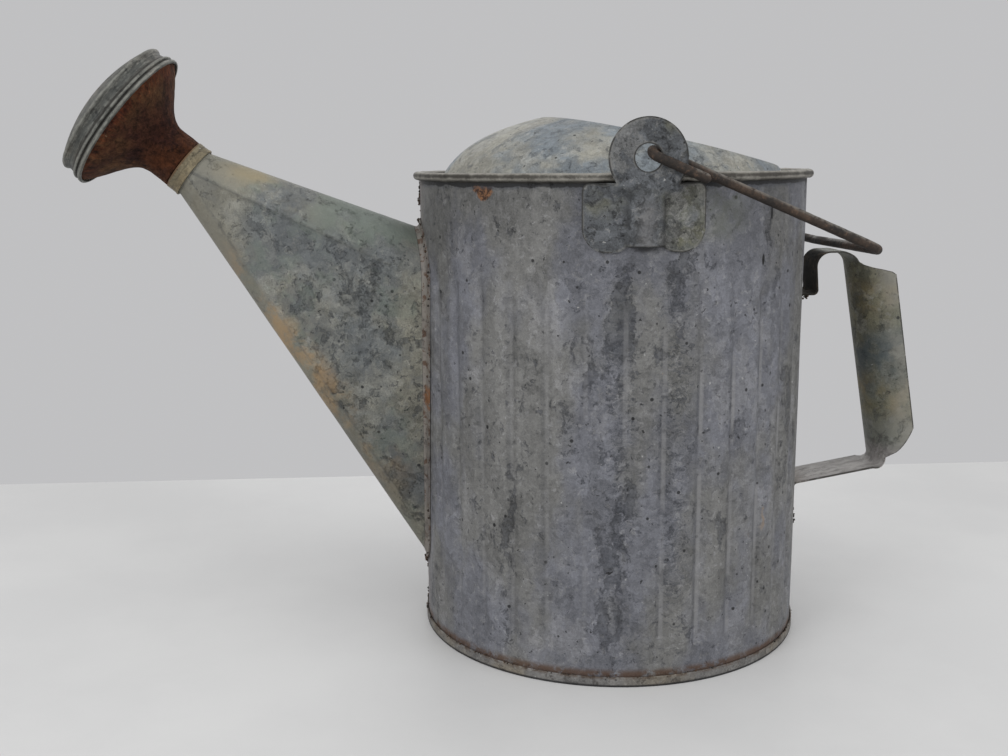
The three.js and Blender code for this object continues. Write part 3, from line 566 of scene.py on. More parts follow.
# The curled rim: patchy bare and dark zinc, with a painted highlight along its top and painted light
# along its lower edge, painted shade in its crease and underneath, and dark at the seam.
rim_share = z.step(0.2568, 0.2576)
rim_tone = clouds(frayed, 90, 6, 0.7) + 0.30 * z.step(0.2606, 0.2618)
rim_tone = rim_tone + 0.26 * bell(z, 0.2586, 0.0016)
rim_colour = rim_tone.step(0.46, 0.84).mix(RIM_DARK, RIM_BARE_AND_LIT)
rim_crease_shade = bell(z, 0.2602, 0.0007) * clouds(frayed, 60, 5, 0.65).step(0.34, 0.50)
rim_colour = (0.45 * rim_crease_shade).mix(rim_colour, RIM_CREASE_SHADE)
rim_under_shade = z.step(0.2592, 0.2578) * clouds(frayed, 70, 5, 0.65).step(0.32, 0.46)
rim_colour = (0.75 * rim_under_shade).mix(rim_colour, RIM_SHADE)
rim_seam = bell(to_seam, math.pi, 0.09)
rim_colour = (0.8 * rim_seam).mix(rim_colour, SOOT_AND_SHADOW)
colour = rim_share.mix(colour, rim_colour.scaled(0.6 + 0.8 * clouds(place, 900, 3, 0.7)))
dull = 0.62 - 0.12 * clouds(frayed, 50, 3)
seal(body_zinc, colour, relief, depth=0.45 * MM, roughness=dull, metallic=0.4)

sizes = geometry_tree("fluted_wall", WALL_SIZES)
tube = sizes["Columns"].node(
    "GeometryNodeMeshCylinder",
    {"fill_type": "NONE"},
    {"Vertices": sizes["Columns"], "Side Segments": sizes["Rows"], "Radius": 1.0, "Depth": 1.0},
)
spot_on_tube = tube.node("GeometryNodeInputPosition")
x, y, z = spot_on_tube.axes()
bearing = y.math("ARCTAN2", x * -1.0)
up = z + 0.5
along = (up / sizes["Wall share"]).math("MINIMUM", 1.0)
curl = (up - sizes["Wall share"]).math("MAXIMUM", 0.0) / (1 - sizes["Wall share"])
curl = curl * sizes["Roll turn"]
height = sizes["Foot"] + along * (sizes["Roll height"] - sizes["Foot"])
rise = height.step(sizes["Flute low"], sizes["Flute low"] + sizes["Flute fade"])
fall = height.step(sizes["Flute high"], sizes["Flute high"] - sizes["Flute fade"])
away = bearing.math("ABSOLUTE").math("GREATER_THAN", sizes["Plain half angle"])
wave = 0.5 + 0.5 * (sizes["Flutes"] * bearing).math("COSINE")
flute = sizes["Flute depth"] * rise * fall * away * wave.math("POWER", sizes["Flute sharpness"])
buckle = clouds(spot_on_tube, 2.2, 2) - 0.5
buckle = buckle * height.step(sizes["Foot"], sizes["Foot"] + sizes["Buckle fade"])
buckle = buckle * height.step(sizes["Roll height"], sizes["Roll height"] - sizes["Buckle fade"])
rim_spot = spot_on_tube.vector("MULTIPLY", (1.0, 1.0, 0.0))
roll = sizes["Roll radius"] * (1 + sizes["Rim bump"] * (clouds(rim_spot, 9, 3) - 0.5))
radius = sizes["Inner radius"] - flute + sizes["Buckle"] * buckle
radius = radius + roll * (1 - curl.math("COSINE"))
place_on_wall = bearing.node(
    "ShaderNodeCombineXYZ",
    {},
    {
        "X": radius * bearing.math("COSINE") * -1.0,
        "Y": radius * bearing.math("SINE"),
        "Z": height + roll * curl.math("SINE"),
    },
)
shaped = tube.node("GeometryNodeSetPosition", {}, {"Geometry": tube, "Position": place_on_wall})
body_wall = grown("body_wall_sheet", shaped, WALL_SIZES, body_zinc)
thickened(body_wall, SHEET, 1)
hole_columns = foot_columns(arc_steps=12, flat_steps=8, tip_half=0.0)
hole_rings = []
# The cutter reaches from inside the body to well outside it.
for x in (-0.5 * BODY_RADIUS, -2 * BODY_RADIUS):
    outline = [foot_outline(column, -SPOUT_OPENING_INSET) for column in hole_columns]
    hole_rings.append([(x, y, z) for y, z in outline])
cut(body_wall, *skinned(hole_rings, False))
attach(body_wall, "can")
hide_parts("body_wall")

# The rim wire: a steel ring held inside the curled edge, seen only in the slit under the curl.
# It is bare and rusty.
RIM_WIRE_DARK = (0.045, 0.028, 0.018, 1)
RIM_WIRE_RUST = (0.11, 0.085, 0.06, 1)

rim_rust, place = finish("rim_wire_rust")
blotch = clouds(place, 90, 5, 0.65)
colour = blotch.step(0.4, 0.62).mix(RIM_WIRE_DARK, RIM_WIRE_RUST)
seal(rim_rust, colour, blotch, depth=0.2 * MM, roughness=0.8, metallic=0.2)
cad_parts["rim_wire"].data.materials.clear()
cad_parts["rim_wire"].data.materials.append(rim_rust)

# The bottom: a zinc-coated disc set a little above the floor, folded up round the foot of the wall
# and crimped, with rust along the seam. Its profile is radius and height in millimetres.
PAN_PROFILE = [
    (0.0, 2.0),
    (104.5, 2.0),
    (106.1, 1.2),
    (106.1, 0.0),
    (109.1, 0.0),
    (109.1, 5.5),
    (108.3, 5.5),
    (108.3, 0.8),
    (106.9, 0.8),
    (106.9, 2.8),
    (0.0, 2.8),
]
PAN_STEPS = 240
PAN_ROUNDING = 0.5
CORNER_STEPS = 3
PAN_COOL = (0.170, 0.165, 0.160, 1)
PAN_WARM = (0.185, 0.165, 0.135, 1)
PAN_DARK = (0.060, 0.050, 0.044, 1)
PAN_PALE = (0.240, 0.235, 0.225, 1)
PAN_CRUST = (0.075, 0.046, 0.028, 1)


def bend(start, corner, end, t):
    """A point of the curve that rounds off a corner."""
    return (1 - t) ** 2 * start + 2 * t * (1 - t) * corner + t * t * end


def softened(outline, radius):
    """A closed outline with rounded corners, apart from those on the axis."""
    points = []
    for k, corner in enumerate(outline):
        here = Vector(corner)
        if here.x < 1e-6:
            points.append(here)
            continue
        back = Vector(outline[k - 1]) - here
        ahead = Vector(outline[(k + 1) % len(outline)]) - here
        start = here + back.normalized() * min(radius, 0.45 * back.length)
        end = here + ahead.normalized() * min(radius, 0.45 * ahead.length)
        points += [bend(start, here, end, step / CORNER_STEPS) for step in range(CORNER_STEPS + 1)]
    return points


def turned(name, outline, steps, material, axis=Matrix(), swell=None):
    """A piece turned about an axis from a closed outline of radius and height in millimetres."""
    mesh = bmesh.new()
    rings = []
    for number, (radius, height) in enumerate(outline):
        ring = []
        for k in range(1 if radius < 1e-6 else steps):
            angle = math.tau * k / steps
            spoke = radius + (swell(number, angle) if swell else 0.0)
            local = Vector((spoke * math.cos(angle), spoke * math.sin(angle), height)) * MM
            ring.append(mesh.verts.new(axis @ local))
        rings.append(ring)
    for here, there in zip(rings, rings[1:] + rings[:1]):
        if len(here) == 1 and len(there) == 1:
            continue
        for k in range(steps):
            corners = [here[k % len(here)], here[(k + 1) % len(here)]]
            corners += [there[(k + 1) % len(there)], there[k % len(there)]]
            mesh.faces.new(list(dict.fromkeys(corners)))
    if mesh.calc_volume(signed=True) < 0:
        bmesh.ops.reverse_faces(mesh, faces=mesh.faces)
    obj = made(name, [], [], material)
    mesh.to_mesh(obj.data)
    mesh.free()
    smoothed(obj)
    return obj


pan_zinc, place = finish("pan_zinc")
colour, relief, frayed = zinc(place, PAN_COOL, PAN_WARM, PAN_DARK, PAN_PALE, tall=1.0)
z = place.axes()[2]
crust = z.step(0.0035, 0.0055) * clouds(frayed, 150, 5, 0.7).step(0.40, 0.58)
colour = (0.8 * crust).mix(colour, PAN_CRUST)
# A painted contact shadow along the pan's lowest edge, where it stands on the table.
floor_contact_shadow = z.step(0.0017, 0.0008)
colour = (0.9 * floor_contact_shadow).mix(colour, SOOT_AND_SHADOW)
seal(pan_zinc, colour, relief, depth=0.3 * MM, roughness=0.65, metallic=0.35)
pan_outline = softened(PAN_PROFILE, PAN_ROUNDING)
bottom_pan = turned("bottom_pan_disc", pan_outline, PAN_STEPS, pan_zinc)
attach(bottom_pan, "can")
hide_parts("bottom_pan")

# The hood: a thin pressed dome soldered inside the rim, cut open on a slant behind its crest
# so that the can fills easily and does not splash when it is tipped.
HOOD_COLUMNS = 240
HOOD_DOME_RADIUS = 98 * MM
HOOD_DOME_RISE = 47.5 * MM
HOOD_DOME_Z = 248 * MM
HOOD_BRIM_RADIUS = 106.9 * MM
HOOD_SEAT_TOP = 254.8 * MM
HOOD_FILLET = 5 * MM
HOOD_CUT_X = -37 * MM
HOOD_CUT_Z = 291 * MM
HOOD_CUT_SLOPE = 0.22
HOOD_DENT = 0.7 * MM
HOOD_DENT_SIZE = 45 * MM
HOOD_DENT_FADE = 8 * MM
HOOD_DENT_LEAN = 0.6
HOOD_DOME_STEPS = 48
HOOD_FILLET_STEPS = 6
HOOD_COOL = (0.180, 0.204, 0.222, 1)
HOOD_WARM = (0.268, 0.262, 0.228, 1)
HOOD_DARK = (0.098, 0.112, 0.126, 1)
HOOD_PALE = (0.292, 0.292, 0.274, 1)


def hood_curve(t):
    """A point of the dome's outline, as distance from the axis and height."""
    return Vector((HOOD_DOME_RADIUS * math.cos(t), HOOD_DOME_Z + HOOD_DOME_RISE * math.sin(t)))


def hood_rib(azimuth):
    """The hood's outer face from its brim up to the slanted cut, in one direction."""
    foot = math.asin((HOOD_SEAT_TOP - HOOD_DOME_Z) / HOOD_DOME_RISE)
    start = foot + HOOD_FILLET / (HOOD_DOME_RISE * math.cos(foot))
    lean = HOOD_CUT_SLOPE * HOOD_DOME_RADIUS * math.cos(azimuth)
    level = HOOD_CUT_Z - HOOD_DOME_Z + HOOD_CUT_SLOPE * HOOD_CUT_X
    end = math.asin(level / math.hypot(HOOD_DOME_RISE, lean)) - math.atan2(lean, HOOD_DOME_RISE)
    corner = hood_curve(foot)
    flat = corner + Vector((HOOD_FILLET, 0))
    profile = [Vector((HOOD_BRIM_RADIUS, HOOD_SEAT_TOP))]
    for k in range(HOOD_FILLET_STEPS):
        profile.append(bend(flat, corner, hood_curve(start), k / HOOD_FILLET_STEPS))
    for k in range(HOOD_DOME_STEPS + 1):
        profile.append(hood_curve(start + (end - start) * k / HOOD_DOME_STEPS))
    return profile


def bumpy(point, size, amount):
    """How far a dented sheet stands out at a point."""
    return amount * noise.noise(Vector(point) / size)


hood_zinc, place = finish("hood_zinc")
toward_spout = place.axes()[0].step(-0.030, -0.075)
colour, relief, frayed = zinc(
    place,
    HOOD_COOL,
    HOOD_WARM,
    HOOD_DARK,
    HOOD_PALE,
    tall=1.1,
    shabby=-0.01,
    warmer=0.10 * toward_spout - 0.045,
    harsh=1.0,
)
colour = colour.scaled(1 + 0.12 * toward_spout)
seal(hood_zinc, colour, relief, depth=0.35 * MM, roughness=0.60, metallic=0.35)
rows = HOOD_FILLET_STEPS + HOOD_DOME_STEPS + 2
verts = []
for k in range(HOOD_COLUMNS):
    azimuth = math.tau * k / HOOD_COLUMNS
    for radius, height in hood_rib(azimuth):
        point = Vector((radius * math.cos(azimuth), radius * math.sin(azimuth), height))
        fade = min(1.0, max(0.0, (height - HOOD_SEAT_TOP) / HOOD_DENT_FADE))
        outward = Vector((point.x, point.y, HOOD_DENT_LEAN * radius)).normalized()
        verts.append(point + outward * bumpy(point, HOOD_DENT_SIZE, HOOD_DENT * fade))
faces = []
for k in range(HOOD_COLUMNS):
    here, there = k * rows, (k + 1) % HOOD_COLUMNS * rows
    faces += [(here + r, there + r, there + r + 1, here + r + 1) for r in range(rows - 1)]
hood = made("hood_dome", verts, faces, hood_zinc)
thickened(hood, SHEET, -1)
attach(hood, "can")
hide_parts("hood")

# The ears: two pressed zinc-coated plates, spot-welded to the wall under the rim.
# A half-round rib stiffens each plate, and the bail wire hangs in its eye.
# Sizes are in millimetres.
EAR_X = -1.5
EAR_EYE_Z = 269
EAR_EYE_RADIUS = 6.5
EAR_DISC_RADIUS = 19
EAR_DISC_INNER = 113.4
EAR_SEAT_RADIUS = 108.3
EAR_SHEET = 1
EAR_TOP_Z = 257.3
EAR_BOTTOM_Z = 223.9
EAR_HALF_WIDTH = 29.9
EAR_CORNER = 12
EAR_SHOULDER = 4
EAR_JOG = 7.5
EAR_JOG_END = 0.3
EAR_FADE = 4
EAR_RIB_HALF = 8.7
EAR_RIB_RISE = 4.2
EAR_RIB_GAP = 3.3
EAR_RIB_MOUTH = 2
EAR_MOUTH_STEPS = 9
EAR_EYE_STEPS = 48
EAR_WELDS = ((-19.7, 250.3), (20.8, 249.9), (-18.6, 234.7), (20.1, 234.2))
EAR_WELD_DEPTH = 0.6
EAR_WELD_RADIUS = 1.8
EAR_GRAIN = 1.25
EAR_COOL = (0.092, 0.098, 0.106, 1)
EAR_WARM = (0.099, 0.098, 0.069, 1)
EAR_DARK = (0.032, 0.034, 0.035, 1)
EAR_PALE = (0.190, 0.188, 0.182, 1)
EAR_BARE_EDGE = (0.215, 0.210, 0.195, 1)
EAR_RIB_SHADE = (0.030, 0.031, 0.032, 1)
EAR_RIB_HIGHLIGHT = (0.182, 0.178, 0.180, 1)
EAR_EDGE_DIRT_AND_SHADE = (0.030, 0.029, 0.027, 1)


def arc(centre, radius, start, end, steps):
    """Points along an arc in a plane."""
    angles = [start + (end - start) * k / steps for k in range(steps + 1)]
    return [Vector((centre[0] + radius * math.cos(a), centre[1] + radius * math.sin(a))) for a in angles]


def ear_outline():
    """The outline of an ear's flat pattern, with the gap under its rib."""
    half, low, high = EAR_HALF_WIDTH, EAR_BOTTOM_Z, EAR_TOP_Z
    neck = math.asin((EAR_EYE_Z - high) / EAR_DISC_RADIUS)
    start = Vector((EAR_RIB_HALF, low + EAR_RIB_GAP))
    corner = Vector((EAR_RIB_HALF + EAR_RIB_MOUTH, low))
    end = Vector((half - EAR_CORNER, low))
    mouth = [bend(start, corner, end, k / EAR_MOUTH_STEPS) for k in range(EAR_MOUTH_STEPS)]
    side = mouth + arc((half - EAR_CORNER, low + EAR_CORNER), EAR_CORNER, -math.pi / 2, 0, 14)
    side += arc((half - EAR_SHOULDER, high - EAR_SHOULDER), EAR_SHOULDER, 0, math.pi / 2, 8)
    disc = arc((0, EAR_EYE_Z), EAR_DISC_RADIUS, -neck, math.pi + neck, 64)
    return side + disc + [Vector((-p.x, p.y)) for p in reversed(side)]


def ear_face(x, z):
    """Distance of the plate's inner face from the middle of the can."""
    wall = math.sqrt(EAR_SEAT_RADIUS**2 - (x + EAR_X) ** 2)
    rise = max(0.0, EAR_DISC_RADIUS**2 - (min(z, EAR_EYE_Z) - EAR_EYE_Z) ** 2)
    neck = math.sqrt(max(rise, EAR_DISC_RADIUS**2 - (EAR_TOP_Z - EAR_EYE_Z) ** 2))
    past = eased((abs(x) - neck) / EAR_FADE)
    lift = (1 - past) * eased((z - EAR_TOP_Z + EAR_JOG) / (EAR_JOG - EAR_JOG_END))
    rib = EAR_RIB_RISE * math.sqrt(max(0.0, 1 - (x / EAR_RIB_HALF) ** 2))
    face = (wall + rib) * (1 - lift) + EAR_DISC_INNER * lift
    for weld_x, weld_z in EAR_WELDS:
        near = math.hypot(x - weld_x, z - weld_z) / EAR_WELD_RADIUS
        face -= EAR_WELD_DEPTH * math.exp(-near * near)
    return face


def eased(t):
    """A share from 0 to 1 that starts and ends gently."""
    t = min(1.0, max(0.0, t))
    return t * t * (3 - 2 * t)


def inside(point, loop):
    """Whether a point lies inside a closed outline."""
    hit = False
    for a, b in zip(loop, loop[1:] + loop[:1]):
        if (a.y > point.y) != (b.y > point.y):
            if point.x < a.x + (point.y - a.y) / (b.y - a.y) * (b.x - a.x):
                hit = not hit
    return hit


def edge_distance(point, loop):
    """How far a point is from a closed outline."""
    best = EAR_DISC_RADIUS
    for a, b in zip(loop, loop[1:] + loop[:1]):
        share = min(1.0, max(0.0, (point - a).dot(b - a) / max(1e-9, (b - a).length_squared)))
        best = min(best, (point - a - (b - a) * share).length)
    return best


def ear_plate():
    """The flat pattern of an ear, as points, triangles and each point's distance from an edge."""
    outline = ear_outline()
    last = EAR_EYE_STEPS - 1
    eye = arc((0, EAR_EYE_Z), EAR_EYE_RADIUS, 0, math.tau * last / EAR_EYE_STEPS, last)
    points = outline + eye
    edges = [(k, (k + 1) % len(outline)) for k in range(len(outline))]
    edges += [(len(outline) + k, len(outline) + (k + 1) % len(eye)) for k in range(len(eye))]
    rows = int((EAR_EYE_Z + EAR_DISC_RADIUS - EAR_BOTTOM_Z) / EAR_GRAIN)
    columns = int(2 * EAR_HALF_WIDTH / EAR_GRAIN)
    for row in range(rows):
        for column in range(columns):
            x = -EAR_HALF_WIDTH + (column + 0.5 * (row % 2)) * EAR_GRAIN
            point = Vector((x, EAR_BOTTOM_Z + (row + 0.5) * EAR_GRAIN))
            clear = min(edge_distance(point, outline), edge_distance(point, eye))
            if clear > 0.5 * EAR_GRAIN and inside(point, outline) and not inside(point, eye):
                points.append(point)
    flat, _, faces, _, _, _ = geometry.delaunay_2d_cdt(points, edges, [], 1, 1e-6)
    kept = []
    for face in faces:
        middle = sum((flat[k] for k in face), Vector((0, 0))) / len(face)
        in_eye = (middle - Vector((0, EAR_EYE_Z))).length < EAR_EYE_RADIUS * 0.995
        if not in_eye:
            kept.append(tuple(face))
    edge = [min(edge_distance(p, outline), edge_distance(p, eye)) for p in flat]
    return flat, kept, edge


def noted(mesh, name, values):
    """Notes a value at each point of a mesh."""
    mesh.attributes.new(name, "FLOAT", "POINT").data.foreach_set("value", values)


def mark(place, name):
    """What was noted on the mesh that a finish covers."""
    return place.node("ShaderNodeAttribute", {"attribute_name": name}, {}, "Fac")


ear_zinc, place = finish("ear_zinc")
x, y, z = place.axes()
edge = mark(place, "edge")
colour, relief, frayed = zinc(
    place,
    EAR_COOL,
    EAR_WARM,
    EAR_DARK,
    EAR_PALE,
    tall=1.2,
    warmer=0.19 * x.step(-0.002, 0.010) - 0.13,
    harsh=1.8,
)
bare_edge = edge.step(1.6, 0.6) * clouds(frayed, 160, 4, 0.6).step(0.38, 0.55)
colour = (0.55 * bare_edge).mix(colour, EAR_BARE_EDGE)
from_middle = x - EAR_X * MM
# Painted shade along both sides of the rib, and a painted highlight on its crown.
rib_side_shade = bell(from_middle.math("ABSOLUTE"), 0.0090, 0.0022) * z.step(0.256, 0.244)
rib_side_shade = 0.6 * rib_side_shade * clouds(frayed, 90, 4, 0.6).step(0.36, 0.54)
colour = rib_side_shade.mix(colour, EAR_RIB_SHADE)
rib_crown_highlight = bell(from_middle, 0.0, 0.0075) * z.step(0.256, 0.240)
rib_crown_highlight = rib_crown_highlight * clouds(frayed, 80, 5, 0.65).step(0.30, 0.50)
colour = (0.55 * rib_crown_highlight).mix(colour, EAR_RIB_HIGHLIGHT)
colour = colour.scaled(1 - 0.08 * z.step(0.256, 0.262))
# Dark edges of the plate: dirt, and painted shade where it meets the wall.
dark_edge_dirt_and_shade = edge.step(1.0, 0.3) * clouds(frayed, 120, 4, 0.6).step(0.38, 0.50)
colour = (0.9 * dark_edge_dirt_and_shade).mix(colour, EAR_EDGE_DIRT_AND_SHADE)
seal(ear_zinc, colour, relief, depth=0.4 * MM, roughness=0.6, metallic=0.4)
flat, plate_faces, edges = ear_plate()
for name, node, side in (("near_ear_plate", "near_ear", -1), ("far_ear_plate", "far_ear", 1)):
    verts = [Vector((p.x + EAR_X, side * ear_face(p.x, p.y), p.y)) * MM for p in flat]
    faces = plate_faces if side < 0 else [tuple(reversed(face)) for face in plate_faces]
    ear = made(name, verts, faces, ear_zinc)
    noted(ear.data, "edge", edges)
    thickened(ear, EAR_SHEET * MM, 1)
    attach(ear, "can")
    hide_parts(node)

# The bail: one rusty steel wire, bent to a square loop behind the body. Each end passes out
# through an ear and is folded back along its own arm.
# Sizes without MM are in millimetres.
BAIL_SIZES = {
    "Wire radius": 2.4 * MM,
    "Step": 1.2 * MM,
    "Sides": 20,
    "Lump": 0.35 * MM,
}
BAIL_PIVOT = Vector((0.098, 0, 271.801))
BAIL_DROOP = math.radians(23.5)
BAIL_ARM_Y = 110.7
BAIL_HOOK_Y = 117.1
BAIL_HOOK_DROP = 3.2
BAIL_HOOK_LENGTH = 30
BAIL_REACH = 125.29
BAIL_BOW = 6
BAIL_CORNER = 9
BAIL_BEND_STEPS = 12
BAIL_DARK = (0.020, 0.015, 0.012, 1)
BAIL_BROWN = (0.048, 0.031, 0.021, 1)
BAIL_FLAKE = (0.085, 0.050, 0.031, 1)
BAIL_RUBBED_AND_LIT = (0.155, 0.142, 0.124, 1)
BAIL_UNDERSIDE_SHADE = (0.014, 0.010, 0.008, 1)


def rounded_path(corners, steps):
    """A path through corners given as a point and the radius of its bend."""
    path = []
    for k, (point, radius) in enumerate(corners):
        if not radius:
            path.append(point.copy())
            continue
        back = (corners[k - 1][0] - point).normalized()
        ahead = (corners[k + 1][0] - point).normalized()
        half = back.angle(ahead) / 2
        setback = radius / math.tan(half)
        centre = point + (back + ahead).normalized() * (radius / math.sin(half))
        start = point + back * setback - centre
        end = point + ahead * setback - centre
        sweep = start.angle(end)
        for step in range(steps + 1):
            t = step / steps
            spoke = start * math.sin((1 - t) * sweep) + end * math.sin(t * sweep)
            path.append(centre + spoke / math.sin(sweep))
    return path


bail_rust, place = finish("bail_rust")
blotch = clouds(torn(place, 200, 0.006), 60, 6, 0.65)
flaky = clouds(place, 420, 4, 0.7)
colour = blotch.step(0.40, 0.60).mix(BAIL_DARK, BAIL_BROWN)
colour = (flaky.step(0.56, 0.66) * 0.6).mix(colour, BAIL_FLAKE)
colour = colour.scaled((2.6 * flaky - 0.3).math("MAXIMUM", 0.2))
# The wire's upper side is rubbed paler with a painted highlight, and its underside gets painted shade.
upper = mark(place, "upper")
worn = clouds(place, 35, 4, 0.6).step(0.38, 0.52) * flaky.step(0.36, 0.54) * upper.step(0.2, 0.8)
colour = (0.75 * worn).mix(colour, BAIL_RUBBED_AND_LIT)
colour = (0.6 * upper.step(-0.2, -0.8)).mix(colour, BAIL_UNDERSIDE_SHADE)
relief = flaky + 0.5 * blotch
seal(bail_rust, colour, relief, depth=0.5 * MM, roughness=0.72 - 0.2 * worn, metallic=0.25)
turn_radius = (BAIL_HOOK_Y - BAIL_ARM_Y) / 2
along_arm = Vector((math.cos(BAIL_DROOP), 0, -math.sin(BAIL_DROOP)))
inner_end = BAIL_PIVOT + Vector((0, BAIL_ARM_Y, BAIL_HOOK_DROP / 2))
outer_end = BAIL_PIVOT + Vector((0, BAIL_HOOK_Y, -BAIL_HOOK_DROP / 2))
middle = Vector((inner_end.x, 0, inner_end.z)) + along_arm * (BAIL_REACH + BAIL_BOW)
half = rounded_path(
    [
        (outer_end + along_arm * BAIL_HOOK_LENGTH, 0),
        (outer_end, turn_radius),
        (inner_end, turn_radius),
        (inner_end + along_arm * BAIL_REACH, BAIL_CORNER),
        (middle, 0),
    ],
    BAIL_BEND_STEPS,
)
path = [p * MM for p in half + [Vector((p.x, -p.y, p.z)) for p in reversed(half[:-1])]]
wire_line = bpy.data.meshes.new("bail_line")
wire_line.from_pydata(path, [(k, k + 1) for k in range(len(path) - 1)], [])
sizes = geometry_tree("bent_wire", BAIL_SIZES)
line = sizes["Geometry"].node("GeometryNodeMeshToCurve", {}, {"Mesh": sizes["Geometry"]})
line = line.node(
    "GeometryNodeResampleCurve", {"mode": "LENGTH"}, {"Curve": line, "Length": sizes["Step"]}
)
run = line.node("GeometryNodeSplineParameter", {}, {}, "Length")
total = line.node("GeometryNodeSplineLength", {}, {}, "Length")
to_end = run.math("MINIMUM", total - run) / sizes["Wire radius"]
to_end = to_end.math("MINIMUM", 1.0)
round_end = (to_end * (2 - to_end)).math("SQRT").math("MAXIMUM", 0.25)
ring = line.node(
    "GeometryNodeCurvePrimitiveCircle",
    {},
    {"Resolution": sizes["Sides"], "Radius": sizes["Wire radius"]},
)
tube = line.node(
    "GeometryNodeCurveToMesh",
    {},
    {"Curve": line, "Profile Curve": ring, "Scale": round_end, "Fill Caps": True},
)
on_wire = tube.node("GeometryNodeInputPosition")
outward = tube.node("GeometryNodeInputNormal")
lumps = sizes["Lump"] * (clouds(on_wire, 190, 4, 0.6) - 0.5)
tube = tube.node("GeometryNodeSetPosition", {}, {"Geometry": tube, "Offset": outward.scaled(lumps)})
bail = grown("bail_wire", tube, BAIL_SIZES, bail_rust, wire_line)
noted(bail.data, "upper", [vertex.normal.z for vertex in bail.data.vertices])
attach(bail, "bail")
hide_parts("bail")

# The spout: zinc-coated sheet folded to a tapering tube with flat sides. Its foot is flanged
# and soldered over the opening in the wall, and its round tip carries the rose.
# Sizes are in millimetres.
TIP_CENTRE = Vector((-231.4, 0, 262.2))
TIP_ELEVATION = math.radians(39.4)
TIP_RADIUS = 13.7
TIP_LENGTH = 7.4
TIP_SIDE_HALF = math.radians(8)
TIP_AXIS = Vector((-math.cos(TIP_ELEVATION), 0, math.sin(TIP_ELEVATION)))
TIP_UP = Vector((math.sin(TIP_ELEVATION), 0, math.cos(TIP_ELEVATION)))
SPOUT_FLANGE = 5
SPOUT_FLANGE_UNDER = 108.3
SPOUT_SHEET = 0.8
SPOUT_FILLET = 3.2
SPOUT_FILLET_STEPS = 6
SPOUT_ROWS = 60
SPOUT_DENT = 1.0
SPOUT_DENT_SIZE = 24
SPOUT_DENT_FADE = 6
SPOUT_FOLD_RISE = 0.75
SPOUT_FOLD_HALF = 1.7
SPOUT_COOL = (0.144, 0.154, 0.154, 1)
SPOUT_WARM = (0.196, 0.190, 0.156, 1)
SPOUT_DARK = (0.064, 0.070, 0.075, 1)
SPOUT_PALE = (0.250, 0.250, 0.226, 1)
SLATE = (0.096, 0.104, 0.112, 1)
CREST_PALE = (0.275, 0.262, 0.208, 1)
SAGE = (0.172, 0.205, 0.170, 1)
GOLD = (0.330, 0.275, 0.170, 1)
GOLD_PLACE = (-0.203, -0.008, 0.262)
GOLD_HALF_SIZE = (0.024, 0.013, 0.010)
BELLY_VEIL = (0.196, 0.178, 0.130, 1)
OCHRE = (0.328, 0.226, 0.122, 1)
CREASE_HIGHLIGHT = (0.270, 0.268, 0.240, 1)
TIP_WASH = (0.198, 0.192, 0.162, 1)
FOLD_SHADE = (0.060, 0.064, 0.062, 1)
FOLD_HIGHLIGHT = (0.240, 0.235, 0.200, 1)
SOLDER = (0.205, 0.182, 0.166, 1)
SCAB = (0.085, 0.045, 0.026, 1)
ORANGE = (0.205, 0.092, 0.036, 1)
ORANGE_PLACE = (-0.1060, -0.0250, 0.1380)
ORANGE_HALF_SIZE = (0.0050, 0.0045, 0.0090)


def tip_point(column, radius, along):
    """A point round the spout's tip."""
    tip = column[2]
    point = TIP_CENTRE + TIP_AXIS * along + TIP_UP * (radius * math.cos(tip))
    return point + Vector((0, radius * math.sin(tip), 0))


def foot_point(column, offset, cylinder):
    """A point round the spout's foot, laid on a cylinder round the can's axis."""
    y, z = (value / MM for value in foot_outline(column, offset * MM))
    return Vector((-math.sqrt(cylinder**2 - y * y), y, z))


def spout_line(column, offset, cylinder):
    """One plain line of the spout from its tip down to its foot and out along the flange."""
    tip = tip_point(column, TIP_RADIUS + offset, 0)
    foot = foot_point(column, offset, cylinder)
    bend_from = foot.lerp(tip, SPOUT_FILLET / (foot - tip).length)
    bend_to = foot_point(column, offset + SPOUT_FILLET, cylinder)
    line = [tip_point(column, TIP_RADIUS + offset, TIP_LENGTH)]
    line += [tip.lerp(bend_from, k / SPOUT_ROWS) for k in range(SPOUT_ROWS + 1)]
    for k in range(1, SPOUT_FILLET_STEPS + 1):
        line.append(bend(bend_from, foot, bend_to, k / SPOUT_FILLET_STEPS))
    line.append(foot_point(column, SPOUT_FLANGE, cylinder))
    return line


def spout_side(column, offset, cylinder):
    """A line of the spout with dents and the folds beside its flat side, and how near the folds are."""
    side = math.copysign(1, column[0])
    folds = []
    for share, turn in ((0.0, -TIP_SIDE_HALF), (1.0, TIP_SIDE_HALF)):
        fold = (side * FOOT_SIDE_ANGLE, share, side * (FOOT_SIDE_ANGLE + turn))
        folds.append(spout_line(fold, offset, cylinder))
    line = []
    near = []
    for row, point in enumerate(spout_line(column, offset, cylinder)):
        gap = min((point - fold[row]).length for fold in folds)
        share = (row - 1) / SPOUT_ROWS
        fade = eased(SPOUT_DENT_FADE * share) * eased(SPOUT_DENT_FADE * (1 - share))
        swell = bumpy(point, SPOUT_DENT_SIZE, SPOUT_DENT)
        swell += SPOUT_FOLD_RISE * math.exp(-((gap / SPOUT_FOLD_HALF) ** 2))
        line.append(point + Vector((0, side, 0)) * swell * fade)
        near.append(gap)
    return line, near


